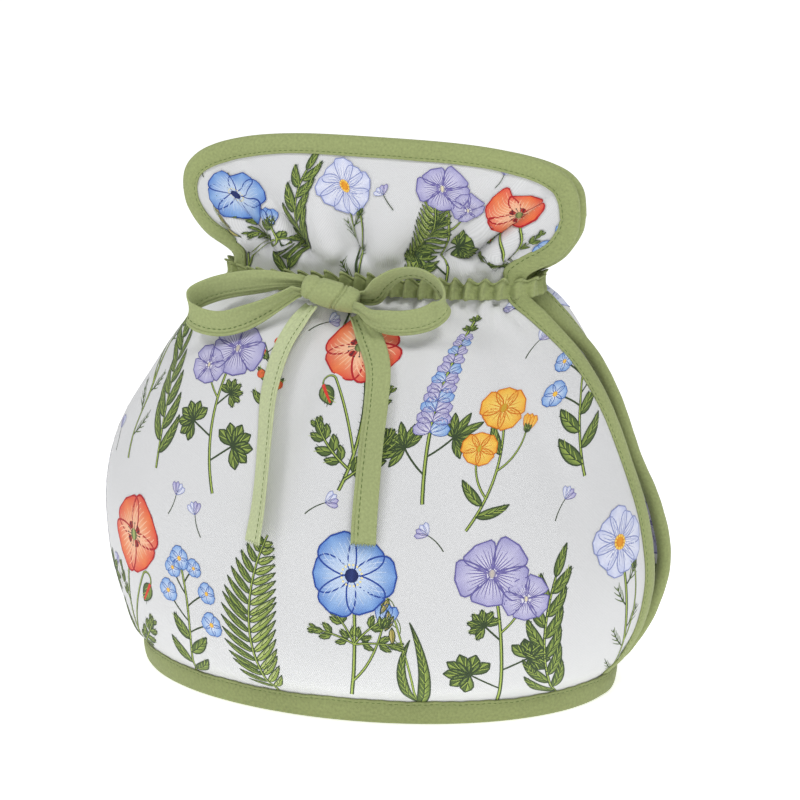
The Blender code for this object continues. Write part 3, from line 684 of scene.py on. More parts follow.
def petal(root, heading, length, wide, tones, veins=5, blunt=4.0, narrow=0.75, layer=0.0):
    """Petal with tones (root, body, tip, rim, vein): a soft fill, fanned veins and a fine rim."""
    root_tone, body, tip, rim, vein = tones
    steps = 1 + int(length / min(1.3, length / 6.0))
    share = np.linspace(0.0, 1.0, steps) ** 0.9
    spine = root + length * share * np.exp(1j * heading)
    half = share**narrow * np.sqrt(np.maximum(1.0 - share**blunt, 0.0))
    half = 0.5 * wide * half / half.max()
    beside = np.exp(1j * (heading + 0.5 * math.pi))
    left, right = spine + beside * half, spine - beside * half
    ink_band(left, right, [root_tone, root_tone, root_tone], [tip, body, tip], layer)
    for k, place in enumerate(np.linspace(-0.72, 0.72, veins)):
        line = (spine + beside * half * place)[1 : max(3, int(0.78 * steps))]
        ink_line(line[: max(3, len(line) - k % 2)], 0.035 * wide, vein, layer + 1.0, 0.7)
    for line in (left, right):
        ink_line(line, 0.032 * wide + 0.12, rim, layer + 1.0)


def flower(centre, radius, petals, wide, tones, turn=0.0, veins=5, blunt=4.0, narrow=0.75, layer=5.0):
    """Ring of petals about a centre, each a little unlike the next."""
    for k in range(petals):
        heading = turn + 2.0 * math.pi * k / petals + 0.05 * math.sin(2.3 * k + radius)
        reach = radius * (1.0 + 0.07 * math.sin(3.1 * k + 1.0))
        broad = wide * (1.0 + 0.06 * math.cos(2.7 * k))
        petal(centre, heading, reach, broad, tones, veins, blunt, narrow, layer + 0.5 * (k % 3))


def ring_of_dots(centre, reach, count, radius, tone):
    for ray in np.exp(2j * math.pi * np.arange(count) / count):
        ink_dot(centre + reach * ray, radius, tone, None, 10.0)


# Tones of each flower's petals: root, body, tip, rim and vein.
COSMOS = ((244, 244, 250), (222, 226, 246), (186, 194, 232), (138, 148, 200), (160, 170, 214))
POPPY = ((252, 214, 178), (238, 112, 60), (222, 66, 52), (184, 36, 44), (252, 196, 160))
ANEMONE = ((240, 246, 252), (124, 166, 224), (72, 118, 200), (44, 74, 158), (200, 218, 244))
BUTTERCUP = ((250, 226, 130), (248, 196, 78), (240, 152, 48), (214, 118, 34), (228, 134, 40))
MALLOW = ((238, 236, 246), (182, 178, 218), (146, 142, 196), (108, 102, 164), (126, 118, 178))
BLUET = ((236, 242, 252), (138, 176, 228), (104, 148, 214), (70, 108, 182), (90, 130, 200))
AMBER = (240, 168, 52)
YOLK = (250, 212, 96)


def cosmos_head(centre, radius):
    flower(centre, radius, 9, radius * 0.72, COSMOS, 0.3, 5, 7.0, 0.6)
    ink_dot(centre, radius * 0.23, AMBER, (214, 120, 30), 9.0)
    ring_of_dots(centre, radius * 0.19, 11, radius * 0.045, YOLK)


def poppy_head(centre, radius):
    flower(centre, radius, 4, radius * 1.36, POPPY, 0.6, 9, 5.0, 0.5)
    for k in range(4):
        heading = 0.6 + 0.5 * math.pi * k
        ink_dot(centre + radius * 0.26 * np.exp(1j * heading), radius * 0.10, (96, 34, 44), POPPY[2], 8.0)
    ink_dot(centre, radius * 0.15, (190, 200, 120), LEAF_DARK, 9.0)
    for k in range(14):
        ray = radius * np.exp(2j * math.pi * k / 14)
        ink_line(np.linspace(centre + 0.15 * ray, centre + 0.30 * ray, 3), 0.25, (72, 40, 48), 9.0)
        ink_dot(centre + 0.31 * ray, 0.36, (60, 40, 52), None, 10.0)


def anemone_head(centre, radius):
    flower(centre, radius, 6, radius * 0.92, ANEMONE, 0.15, 7, 4.0, 0.6)
    ink_dot(centre, radius * 0.17, (46, 62, 120), (30, 40, 90), 9.0)
    ring_of_dots(centre, radius * 0.25, 16, radius * 0.028, (250, 236, 170))


def buttercup_head(centre, radius):
    flower(centre, radius, 5, radius * 1.08, BUTTERCUP, 0.5, 5, 5.0, 0.55)
    ink_dot(centre, radius * 0.20, (196, 190, 70), (226, 120, 30), 9.0)


def mallow_head(centre, radius):
    flower(centre, radius, 5, radius * 1.02, MALLOW, 0.9, 7, 7.0, 0.8)
    ink_dot(centre, radius * 0.12, (246, 236, 190), MALLOW[3], 9.0)


def bluet_head(centre, radius):
    flower(centre, radius, 5, radius * 1.0, BLUET, 1.2, 1, 4.0, 0.5)
    ink_dot(centre, radius * 0.20, YOLK, AMBER, 9.0)


def closed_bud(root, heading, length, tones):
    """Half-open bud in a green cup."""
    for turn in (-0.30, 0.30, 0.0):
        petal(root, heading + turn, length, length * 0.42, tones, 3, 4.0, 0.7, 2.0)
    for turn in (-0.42, 0.0, 0.42):
        ink_leaf(root, heading + turn, length * 0.5, length * 0.22, 0.0, 0, 0.8, 4.0)


def fan_leaf(start, heading, reach, curl, stalk_wide, spread, long, wide, full, shorter=0.0):
    """Leaf of seven leaflets that fan out from the end of its stalk, the outer ones shorter."""
    stalk = bend(start, heading, reach, curl)
    ink_line(stalk, stalk_wide, LEAF_DARK)
    for turn in np.linspace(-spread, spread, 7):
        ink_leaf(stalk[-1], heading + turn, long - shorter * abs(turn), wide, 0.0, 1, full)


def cosmos_plant():
    stem = ink_stem(bend(0j, 1.36, 76.0, 0.50), 1.7)
    side = ink_stem(bend(stem[20], 1.15, 34.0, 0.65), 1.2)
    closed_bud(side[-1], 1.85, 9.0, COSMOS)
    for k, place in enumerate((6, 12, 18, 25, 32, 38)):
        way = 1.0 if k % 2 else -1.0
        thread = bend(stem[place], 1.57 - way * 0.85, 17.0 - 1.6 * k, way * 0.5)
        ink_line(thread, 0.75, LEAF_DARK, 0.0, 0.6)
        for m in (2, 4, 6, 8):
            if m < len(thread) - 1:
                for turn in (0.6, -0.6):
                    heading = float(np.angle(tangent_of(thread)[m])) + turn
                    ink_line(bend(thread[m], heading, 6.5 - 0.5 * m, -turn * 0.5), 0.6, LEAF_DEEP, 0.0, 0.7)
    cosmos_head(stem[-1], 13.5)


def poppy_plant():
    stem = ink_stem(bend(0j, 1.88, 62.0, -0.85), 1.6)
    for k in range(2, len(stem) - 3, 2):
        for way in (1.0, -1.0):
            ink_line(bend(stem[k], 1.57 + way * 1.0, 1.9, 0.0, 0.9), 0.22, LEAF_DARK, 0.0, 0.6)
    neck = bend(stem[10], 1.2, 34.0, -0.2)
    crook = bend(neck[-1], 1.0, 9.0, -3.2, 1.0)
    ink_stem(np.concatenate([neck, crook[1:]]), 1.2)
    ink_leaf(crook[-1], -2.2, 10.5, 6.0, 0.0, 3, 0.8, 2.0)
    ink_line(bend(crook[-1], -2.2, 9.5, 0.0), 1.4, POPPY[2], 6.0, 0.5)
    lobed_leaf(stem[3], 2.45, 27.0, 17.0, -0.5, 4)
    lobed_leaf(stem[6], 0.55, 25.0, 15.0, 0.5, 4)
    lobed_leaf(stem[20], 2.3, 17.0, 11.0, -0.5, 3)
    poppy_head(stem[-1], 15.0)


def lupin_plant():
    stem = ink_stem(bend(0j, 1.72, 86.0, -0.34), 1.7)
    for base, heading, reach, curl in ((8, 2.5, 15.0, -0.3), (13, 0.6, 13.0, 0.3)):
        fan_leaf(stem[base], heading, reach, curl, 0.8, 1.7, 13.0, 3.4, 1.0, 2.0)
    for k in range(13):
        share = k / 12
        place = stem[int((0.36 + 0.62 * share) * (len(stem) - 1))]
        size = 6.4 * (1.0 - 0.68 * share)
        for way, turn in ((-1.0, 0.25), (1.0, 0.25), (-1.0, 0.95), (1.0, 0.95)):
            head = 1.57 + way * (1.45 - turn * 0.8) + 0.12 * math.sin(5.0 * k + way)
            tones = MALLOW if (k + (way > 0.0)) % 3 else BLUET
            if share > 0.86:
                ink_leaf(place, head, size * 1.4, size * 0.7, 0.0, 0, 0.8, 2.0)
            else:
                petal(place, head, size * 1.25, size * 0.8, tones, 3, 3.0, 0.6, 3.0)


def anemone_plant():
    stem = ink_stem(bend(0j, 1.40, 52.0, 0.45), 1.5)
    for heading in (2.75, 2.05, 1.1, 0.35):
        lobed_leaf(stem[17], heading, 18.0, 11.0, 0.5 if heading > 1.57 else -0.5, 3)
    side = ink_stem(bend(stem[6], 0.95, 27.0, 0.5), 1.1)
    closed_bud(side[-1], 1.45, 10.0, ANEMONE)
    anemone_head(stem[-1], 15.5)


def buttercup_plant():
    stem = ink_stem(bend(0j, 1.20, 48.0, 0.85), 1.2)
    for base, heading, reach, radius in ((9, 2.5, 20.0, 6.5), (16, 0.75, 17.0, 0.0)):
        side = ink_stem(bend(stem[base], heading, reach, 0.9 if heading < 1.57 else -0.9), 0.9)
        if radius:
            buttercup_head(side[-1], radius)
        else:
            closed_bud(side[-1], 1.5, 7.5, BUTTERCUP)
    for base, heading in ((4, 0.35), (7, 2.7), (20, 2.35)):
        ink_leaf(stem[base], heading, 13.0, 3.6, 0.4 if heading < 1.57 else -0.4, 3)
    buttercup_head(stem[-1], 8.5)


def bluet_plant():
    stem = ink_stem(bend(0j, 1.85, 54.0, -0.6), 1.2)
    for k, base in enumerate((3, 7, 11, 15)):
        heading = 0.7 if k % 2 else 2.5
        ink_leaf(stem[base], heading, 15.0 - k, 4.6, 0.4 if k % 2 else -0.4, 3)
    for k, (base, heading, reach) in enumerate((
        (17, 2.45, 13.0), (20, 0.65, 14.0), (24, 2.3, 12.0), (27, 0.8, 11.0), (30, 2.0, 8.0),
    )):
        side = bend(stem[base], heading, reach, 0.3)
        ink_line(side, 0.6, LEAF_DARK)
        bluet_head(side[-1], 4.6 - 0.3 * k)
    bluet_head(stem[-1], 4.4)


def fern_frond():
    spine = bend(0j, 1.9, 82.0, -0.85)
    along = np.angle(tangent_of(spine))
    for _, share, place, _ in up_stem(spine, 17, 0.12, 0.84):
        reach = 17.0 * math.sin(math.pi * (0.14 + 0.82 * share)) ** 0.9
        for way in (1.0, -1.0):
            tones = GREEN_LEAF if way > 0.0 else PALE_LEAF
            ink_leaf(spine[place], along[place] + way * 1.05, reach, 3.0, -way * 0.35, 2, 0.7, 0.0, tones)
    ink_stem(spine, 1.3, 3.0)


def willow_branch():
    spine = ink_stem(bend(0j, 1.35, 62.0, 0.55), 1.3)
    along = np.angle(tangent_of(spine))
    for k, _, place, way in up_stem(spine, 12, 0.10, 0.82):
        ink_leaf(spine[place], along[place] + way * 0.72, 18.5 - 0.55 * k, 4.3, -way * 0.5, 4, 0.75)
    ink_leaf(spine[-1], along[-1], 13.0, 3.6, 0.1, 3, 0.75)


def oat_stalk():
    stem = bend(0j, 1.72, 80.0, -0.75)
    ink_line(stem, 1.0, LEAF_DEEP, 0.0, 0.5)
    ink_line(stem, 0.45, LEAF_LIME, 1.0, 0.5)
    ink_leaf(stem[2], 2.05, 46.0, 4.4, -0.9, 9, 0.6)
    ink_leaf(stem[5], 1.15, 34.0, 3.6, 0.9, 7, 0.6)
    for k, _, place, way in up_stem(stem, 11, 0.48, 0.50):
        thread = bend(stem[place], 1.2 + way * 0.75, 9.0 - 0.4 * k, -way * 1.3)
        ink_line(thread, 0.35, LEAF_DEEP)
        ink_leaf(thread[-1], -1.35 + 0.25 * way, 7.0, 2.3, 0.0, 0, 0.9, 2.0, RIPE_OAT)


def mallow_plant():
    stem = ink_stem(bend(0j, 1.28, 58.0, 0.62), 1.4)
    for base, heading, reach, size in ((8, 2.55, 12.0, 9.0), (14, 0.5, 11.0, 8.0), (22, 2.4, 8.0, 6.0)):
        fan_leaf(stem[base], heading, reach, 0.0, 0.7, 1.9, size, size * 0.52, 1.3)
    side = ink_stem(bend(stem[24], 0.75, 15.0, 0.5), 0.9)
    mallow_head(side[-1], 8.0)
    mallow_head(stem[-1], 12.0)


def berry_sprig():
    twig = bend(0j, 1.1, 30.0, 0.9)
    ink_line(twig, 0.8, LEAF_DARK, 0.0, 0.5)
    for k in range(5):
        way = 1.0 if k % 2 else -1.0
        stalk = bend(twig[5 + 3 * k], 1.5 + way * 0.9, 6.0, -way * 0.4)
        ink_line(stalk, 0.4, LEAF_DARK)
        ink_dot(stalk[-1], 1.7, (236, 132, 70), (204, 70, 46), 2.0)
        ink_leaf(twig[3 + 3 * k], 1.5 - way * 0.9, 8.0, 3.0, way * 0.3, 2)


def seed_sprig():
    stem = bend(0j, 1.7, 7.5, -0.5, 1.0)
    ink_line(stem, 0.38, LEAF_DARK, 0.0, 0.3)
    for turn in (-0.7, -0.25, 0.2, 0.65):
        petal(stem[-1], 1.35 + turn, 4.4, 1.7, MALLOW if turn < 0.0 else COSMOS, 1, 3.0, 0.7, 1.0)


# Layout of the print over one panel's flat cloth: each motif's place in mm from the middle of the hem, its
# turn in degrees, its size, and whether it is flipped.
PRINT_LAYOUT = ("motif", "x", "y", "turn", "size", "flip")
PRINT = (
    (lupin_plant, -128, 10, 4, 1.08, False),
    (poppy_plant, -92, 6, 2, 1.04, False),
    (bluet_plant, -60, 6, -4, 1.12, True),
    (fern_frond, -14, 4, 6, 0.98, False),
    (anemone_plant, 16, 14, -8, 1.08, False),
    (oat_stalk, 40, 2, -2, 1.05, True),
    (mallow_plant, 72, 6, -4, 1.15, False),
    (willow_branch, 100, 4, 2, 1.05, True),
    (cosmos_plant, 132, 4, -2, 0.98, False),
    (buttercup_plant, -130, 108, 6, 1.20, True),
    (cosmos_plant, -98, 96, -4, 0.98, True),
    (willow_branch, -74, 98, 12, 1.02, False),
    (mallow_plant, -42, 94, 4, 1.05, True),
    (berry_sprig, -26, 128, 14, 1.10, False),
    (poppy_plant, 12, 102, -4, 1.00, True),
    (lupin_plant, 46, 98, -3, 0.95, False),
    (buttercup_plant, 64, 88, -12, 1.05, False),
    (bluet_plant, 112, 106, 6, 1.12, False),
    (fern_frond, 144, 96, 8, 0.80, True),
    (oat_stalk, -70, 178, 6, 0.80, False),
    (anemone_plant, -52, 186, 6, 0.84, False),
    (willow_branch, -30, 190, -2, 0.86, True),
    (cosmos_plant, -2, 172, 4, 0.84, False),
    (fern_frond, 18, 192, -20, 0.60, True),
    (mallow_plant, 34, 190, 0, 0.86, False),
    (poppy_plant, 72, 188, 4, 0.74, True),
    (bluet_plant, 96, 186, 0, 0.90, False),
    (berry_sprig, -88, 196, 20, 0.90, True),
    (cosmos_plant, -136, 176, 6, 0.78, False),
    (poppy_plant, -111, 184, -4, 0.74, True),
    (lupin_plant, 118, 180, 4, 0.64, False),
    (buttercup_plant, 136, 186, 4, 0.84, True),
    (seed_sprig, -108, 40, 20, 1.2, False),
    (seed_sprig, -64, 82, -30, 1.2, True),
    (seed_sprig, -46, 76, 30, 1.2, False),
    (seed_sprig, 0, 92, -50, 1.2, False),
    (seed_sprig, 56, 80, 40, 1.2, True),
    (seed_sprig, 100, 90, -20, 1.2, False),
    (seed_sprig, -116, 94, 0, 1.2, True),
    (seed_sprig, -78, 168, 30, 1.2, False),
    (seed_sprig, -16, 168, -40, 1.2, False),
    (seed_sprig, 76, 156, -20, 1.2, False),
    (seed_sprig, 74, 176, 50, 1.2, True),
    (seed_sprig, 116, 172, 30, 1.2, True),
    (seed_sprig, -74, 236, 20, 1.1, False),
    (seed_sprig, 54, 244, -30, 1.1, True),
    (seed_sprig, 14, 226, 45, 1.1, False),
)


def draw_print():
    for k, line in enumerate(PRINT):
        row = dict(zip(PRINT_LAYOUT, line))
        pen["place"] = complex(row["x"], row["y"])
        pen["turn"] = row["size"] * np.exp(1j * math.radians(row["turn"]))
        pen["flip"] = row["flip"]
        pen["layer"] = 0.35 * (k % 3)
        row["motif"]()
    points = np.concatenate(ink["points"])
    colours = np.concatenate(ink["colours"]) / 255.0
    colours = np.where(colours <= 0.04045, colours / 12.92, ((colours + 0.055) / 1.055) ** 2.4)
    return points, colours, np.concatenate(ink["layers"]), np.concatenate(ink["faces"])


def sample(grid, j, i):
    """Values of a grid at fractional rows and columns, weighted between the four nearest points."""
    rows, columns = grid.shape[:2]
    j = np.clip(j, 0.0, rows - 1.001)
    i = np.clip(i, 0.0, columns - 1.001)
    low_j, low_i = j.astype(int), i.astype(int)
    part_j, part_i = j - low_j, i - low_i
    if grid.ndim == 3:
        part_j, part_i = part_j[:, None], part_i[:, None]
    lower = grid[low_j, low_i] * (1.0 - part_i) + grid[low_j, low_i + 1] * part_i
    upper = grid[low_j + 1, low_i] * (1.0 - part_i) + grid[low_j + 1, low_i + 1] * part_i
    return lower * (1.0 - part_j) + upper * part_j


def find_on_cloth(panel, flat):
    """Grid rows and columns of places on the flat cloth, and whether each is on the panel."""
    wise, upward = panel["wise"], panel["upward"]
    rows, columns = wise.shape
    middle = columns // 2
    j = np.interp(flat.imag, upward[:, middle], np.arange(rows))
    i = middle + flat.real / (np.interp(j, np.arange(rows), wise[:, -1]) / middle)
    for _ in range(SEARCH_ROUNDS):
        j, i = np.clip(j, 0.0, rows - 1.5), np.clip(i, 0.5, columns - 1.5)
        miss_x = flat.real - sample(wise, j, i)
        miss_y = flat.imag - sample(upward, j, i)
        x_i = sample(wise, j, i + 0.5) - sample(wise, j, i - 0.5)
        x_j = sample(wise, j + 0.5, i) - sample(wise, j - 0.5, i)
        y_i = sample(upward, j, i + 0.5) - sample(upward, j, i - 0.5)
        y_j = sample(upward, j + 0.5, i) - sample(upward, j - 0.5, i)
        size = x_i * y_j - x_j * y_i
        size = np.where(np.abs(size) < 1e-3, 1e-3, size)
        i = i + np.clip((miss_x * y_j - miss_y * x_j) / size, -8.0, 8.0)
        j = j + np.clip((miss_y * x_i - miss_x * y_i) / size, -8.0, 8.0)
    j, i = np.clip(j, 0.0, rows - 1.01), np.clip(i, 0.0, columns - 1.01)
    off = np.abs(flat.real - sample(wise, j, i)) + np.abs(flat.imag - sample(upward, j, i))
    return j, i, off < FARTHEST_MISS


def cloth_tree(grid, flip=False):
    """Search tree over a grid of points, for the nearest cloth to a place."""
    faces = grid_faces(*grid.shape[:2], 0, flip)
    return BVHTree.FromPolygons(grid.reshape(-1, 3).tolist(), faces.tolist())


def over_cloth(skin, sign, places, faces, lift):
    """Ink that a tight fold would hide, at its points or amid its faces, brought back over the cloth."""
    cloth = cloth_tree(skin)

    def rise(place, least):
        near, facing, _, _ = cloth.find_nearest(place)
        facing = facing * sign
        return np.array(facing) * max(least - (Vector(place) - near).dot(facing), 0.0)

    for k in range(len(places)):
        places[k] += rise(places[k], lift[k])
    for face in np.concatenate([faces] * INK_ROUNDS):
        places[face] += rise(places[face].mean(0), INK_LIFT)
    return places


def lay_print(name, panel, skin, shift, mirror=False):
    """The print as a skin of ink on one face of a panel, its pattern shifted sideways by some mm."""
    points, colours, layers, faces = print_drawing
    points = -np.conj(points) if mirror else points
    repeats = (0.0,) if shift == 0.0 else (0.0, -FLAT_WIDE)
    flat = np.concatenate([points + shift + repeat for repeat in repeats])
    every = np.concatenate([faces + k * len(points) for k in range(len(repeats))])
    colours = np.tile(colours, (len(repeats), 1))
    layers = np.tile(layers, len(repeats))
    j, i, held = find_on_cloth(panel, flat)
    held = held & (sample(panel["to_rim"], j, i) > BINDING_WIDE - INK_UNDER_BINDING)
    every = every[held[every].all(1)]
    used = np.unique(every)
    renumber = np.zeros(len(flat), int)
    renumber[used] = np.arange(len(used))
    every = renumber[every]
    j, i, flat = j[used], i[used], flat[used]
    sign = 1.0 if skin == "outer" else -1.0
    normal = grid_normals(panel[skin], panel["side"]) * sign
    lift = INK_LIFT + INK_LAYER * layers[used]
    raised = lift + INK_OVER_RIPPLES * sample(panel["bent"], j, i)
    places = sample(panel[skin], j, i) + sample(normal, j, i) * raised[:, None]
    gathered = sample(panel["bent"], j, i)[every].max(1) > 0.1
    places = over_cloth(panel[skin], -panel["side"] * sign, places, every[gathered], lift)
    turned = (panel["side"] > 0) ^ (sign < 0.0) ^ mirror
    faces = every[:, ::-1] if turned else every
    across_and_up = np.stack([flat.real, flat.imag], 1)
    item = make_piece(name, places, faces.tolist(), across_and_up, ink_cotton)
    dye = item.data.color_attributes.new(name="ink", type="FLOAT_COLOR", domain="POINT")
    dye.data.foreach_set("color", np.column_stack([colours[used], np.ones(len(used))]).ravel())
    return item


INKED_TONE = {"Clouds": 0.03, "Slubs": 0.10}
ink_cotton = cloth_material("printed_ink", OFF_WHITE, TWILL, INKED_TONE, 0.12, 0.86, "ink")
print_drawing = draw_print()
# The back and the inner faces show other stretches of the printed cloth, so its pattern is shifted there.
front_print = lay_print("front_print", front, "outer", 0.0)
back_print = lay_print("back_print", back, "outer", 155.0)
front_inner_print = lay_print("front_inner_print", front, "inner", 75.0, True)
back_inner_print = lay_print("back_inner_print", back, "inner", 215.0, True)

# ---------------------------------------------------------------- Bindings of the panels' edges
# Sage-green cotton, cut on the bias and folded in half round the sides and top of each panel, about 8 mm
# wide. One row of thread holds both halves near the inner edge, where the tape dips. The hem band covers
# its ends.
GREEN = (0.335, 0.385, 0.160, 1.0)
# The hem's green is the bindings' green painted a little darker: painted shade where the belly overhangs the
# hem.
HEM_GREEN_PAINTED_SHADE = (0.308, 0.352, 0.142, 1.0)
PLAIN = {"Threads per metre": 1500.0, "Twill": 0.0, "Roughness of yarn": 0.8}
GREEN_TONE = {"Clouds": 0.12, "Slubs": 0.32}
BINDING_START = 9.6
SQUARE_FROM_ROW = 11.0
SQUARE_ROWS = 1.5
BINDING_INSETS = (0.0, 2.1, 4.2, 6.3, 8.6)
# Inset from the panel's rim and lift off its middle surface, from the tape's turned edge over to its fold.
BINDING_OUTER = (
    (7.15, 1.52), (7.30, 1.85), (7.20, 2.20), (6.75, 2.32), (6.15, 2.00), (5.55, 2.32), (4.60, 2.55),
    (3.00, 2.66), (1.20, 2.58), (-0.20, 2.24), (-1.05, 1.45), (-1.40, 0.50),
)
BINDING_POCKET = ((-0.30, -1.52), (-0.30, 1.52))
BINDING_ROUND = BINDING_OUTER + tuple((inset, -lift) for inset, lift in BINDING_OUTER[::-1]) + BINDING_POCKET
STITCH_INSET = 6.15
STITCH_LIFT = 2.0
EDGE_WANDER = 0.22
BUNCHED_LIFT = 0.7
BUNCHED_ROW = 10.6
BUNCHED_REACH = 1.1
NEAR_COLUMNS = 60
THREAD_GREEN = (0.130, 0.190, 0.050, 1.0)

binding_cotton = cloth_material("green_binding_cotton", GREEN, PLAIN, GREEN_TONE, 0.10, 0.9)
# The hem's cotton carries the painted shade: the same cloth as the bindings, in a darker colour.
hem_painted_shade_cotton = cloth_material("green_hem_painted_shade_cotton", HEM_GREEN_PAINTED_SHADE, PLAIN, GREEN_TONE, 0.10, 0.9)
thread_cotton = cloth_material("green_thread", THREAD_GREEN, PLAIN, {"Clouds": 0.05, "Slubs": 0.1}, 0.05, 0.8)


def wander(run, seed, size=1.0):
    """Smooth unevenness along a seam, about -1 to 1."""
    waves = ((0.45, 0.061, 1.7), (0.30, 0.137, 4.8), (0.25, 0.291, 7.9))
    return size * sum(share * np.sin(run * pace + seed * start) for share, pace, start in waves)


def even_out(values, times=2):
    """Values along an open run, each drawn towards the mean of its neighbours."""
    for _ in range(times):
        middle = 0.25 * values[:-2] + 0.5 * values[1:-1] + 0.25 * values[2:]
        values = np.concatenate([values[:1], middle, values[-1:]])
    return values


def rim_stations(panel):
    """Grid places (row, column) up the handle side, over the top and down the spout side."""
    first = int(np.argmax(panel["middle"][:, -1, 2] > BINDING_START))
    rows = np.arange(first, GRID_ROWS)
    columns = np.arange(GRID_COLUMNS)[::-1]
    up = [(row, GRID_COLUMNS - 1) for row in rows[:-1]]
    over = [(GRID_ROWS - 1, column) for column in columns]
    down = [(row, 0) for row in rows[::-1][1:]]
    return np.array(up + over + down)


def cloth_under_binding(panel):
    """Places and normals of the cloth at each of the binding's insets, along the panel's rim."""
    stations = rim_stations(panel)
    tree = cloth_tree(panel["middle"], panel["side"] > 0)
    middle, side = panel["middle"], panel["side"]
    rim = middle[stations[:, 0], stations[:, 1]]
    normal = unit(even_out(panel["normal"][stations[:, 0], stations[:, 1]], 6))
    along = unit(even_out(np.gradient(rim, axis=0), 4))
    inward = unit(even_out(unit(np.cross(normal, along) * -side), 4))
    rows = panel["rows"][stations[:, 0], 0]
    places = np.zeros((len(BINDING_INSETS), len(rim), 3))
    normals = np.zeros_like(places)
    for k, (row, column) in enumerate(stations):
        on_side = column in (0, GRID_COLUMNS - 1) and row < GRID_ROWS - 1
        turned = smooth_step((rows[k] - SQUARE_FROM_ROW) / SQUARE_ROWS) if on_side else 1.0
        line = middle[row, ::-1] if column else middle[row]
        line = line[:NEAR_COLUMNS]
        reach = (line - rim[k]) @ inward[k]
        for m, inset in enumerate(BINDING_INSETS):
            square = np.array(tree.find_nearest(Vector(rim[k] + inward[k] * inset))[0])
            level_place = np.array([np.interp(inset, reach, line[:, axis]) for axis in range(3)])
            place = level_place + (square - level_place) * turned if on_side else square
            found, facing, _, _ = tree.find_nearest(Vector(place))
            places[m, k] = found
            normals[m, k] = np.array(facing) * (1.0 if np.dot(facing, normal[k]) > 0.0 else -1.0)
    places[0] = rim
    normals = np.array([unit(even_out(line, 4)) for line in normals])
    normals[0] = normal
    return places, normals, inward, run_along(rim, 0)


def closed_sweep(rings, run, closed):
    """Faces and flat coordinates of a skin over a run of closed sections, with caps if the run is open."""
    count, sides = rings.shape[:2]
    here = np.arange(count if closed else count - 1)[:, None] * sides
    there = (np.arange(count if closed else count - 1)[:, None] + 1) % count * sides
    i = np.arange(sides)[None, :]
    j = (i + 1) % sides
    faces = np.stack([here + i, here + j, there + j, there + i], -1).reshape(-1, 4).tolist()
    if not closed:
        faces.append(list(range(sides))[::-1])
        faces.append([(count - 1) * sides + k for k in range(sides)])
    around = np.concatenate([[0.0], np.cumsum(np.linalg.norm(np.diff(rings[count // 2], axis=0), axis=1))])
    flat = np.stack(np.broadcast_arrays(np.asarray(run)[:, None], around[None, :]), -1)
    return faces, flat.reshape(-1, 2)


def make_swept(name, rings, run, closed, material, node):
    """Smooth closed skin over a run of sections, with its faces pointing out."""
    faces, flat = closed_sweep(rings, run, closed)
    corners = rings.reshape(-1, 3)
    around = (corners - corners.mean(0))[[face[:4] for face in faces]]
    volume = sum(np.sum(around[:, 0] * np.cross(around[:, k], around[:, k + 1])) for k in (1, 2))
    if volume < 0.0:
        faces = [face[::-1] for face in faces]
    return make_piece(name, corners, faces, flat, material, node)


def build_binding(name, node, panel, seed):
    places, normals, inward, run = cloth_under_binding(panel)
    rows = panel["rows"][rim_stations(panel)[:, 0], 0]
    bunched = BUNCHED_LIFT * hump(rows, BUNCHED_ROW, BUNCHED_REACH)
    insets = np.array(BINDING_INSETS)

    def at(inset, lift):
        """Line along the rim at an inset and a lift, with the seam's unevenness."""
        shifted = inset + (EDGE_WANDER * wander(run, seed) if inset > 5.0 else 0.0)
        low = np.clip(np.searchsorted(insets, shifted) - 1, 0, len(insets) - 2)
        share = np.clip((shifted - insets[low]) / (insets[low + 1] - insets[low]), 0.0, 1.2)
        share = np.broadcast_to(share, run.shape)[:, None]
        low = np.broadcast_to(low, run.shape)
        index = np.arange(len(run))
        spot = places[low, index] * (1.0 - share) + places[low + 1, index] * share
        facing = unit(normals[low, index] * (1.0 - share) + normals[low + 1, index] * share)
        puffed = lift * (1.0 + (0.05 * wander(run * 2.3, seed + 4.0) if abs(lift) > 2.0 else 0.0))
        grown = puffed + np.sign(lift) * bunched * min(abs(lift) / 2.0, 1.0)
        return spot + inward * min(inset, 0.0) + facing * grown[:, None]

    rings = np.stack([at(inset, lift) for inset, lift in BINDING_ROUND], 1)
    item = make_swept(name, rings, run, False, binding_cotton, node)
    return item, [(at(STITCH_INSET, sign * STITCH_LIFT), unit(normals[-2] * sign)) for sign in (1.0, -1.0)]


# Stitches of one row of thread, in mm. A stitch's shape is its places along its length and its girth there.
STITCH_LONG = 1.5
STITCH_PITCH = 2.35
STITCH_WIDE = 0.42
STITCH_TALL = 0.30
STITCH_SHAPE = ((-0.5, 0.3), (-0.28, 1.0), (0.28, 1.0), (0.5, 0.3))


def sew(name, seams):
    """Rows of thread stitches along seams, each seam a line of places with the cloth's normals."""
    stitches = []
    for line, normal in seams:
        run = run_along(line, 0)
        places = np.arange(0.5 * STITCH_PITCH, run[-1] - 0.5 * STITCH_PITCH, STITCH_PITCH)
        middle = np.stack([np.interp(places, run, line[:, k]) for k in range(3)], 1)
        facing = unit(np.stack([np.interp(places, run, normal[:, k]) for k in range(3)], 1))
        along = unit(np.gradient(middle, axis=0))
        beside = unit(np.cross(along, facing))
        tilt = 0.10 * np.sin(places * 1.9)
        along = unit(along + beside * tilt[:, None])
        rings = []
        for reach, girth in STITCH_SHAPE:
            spine = middle + along * reach * STITCH_LONG
            aside = beside * 0.5 * STITCH_WIDE * girth
            lifted = facing * 0.5 * STITCH_TALL * girth
            rings.append(np.stack([spine - aside, spine + lifted * 1.6, spine + aside, spine - lifted], 1))
        stitches.append(np.stack(rings, 1).reshape(-1, 3))
    points = np.concatenate(stitches)
    corners = 4 * len(STITCH_SHAPE)
    one, _ = closed_sweep(points[:corners].reshape(-1, 4, 3), np.arange(len(STITCH_SHAPE)), False)
    faces = [[first + k for k in face] for first in range(0, len(points), corners) for face in one]
    return make_piece(name, points, faces, None, thread_cotton)


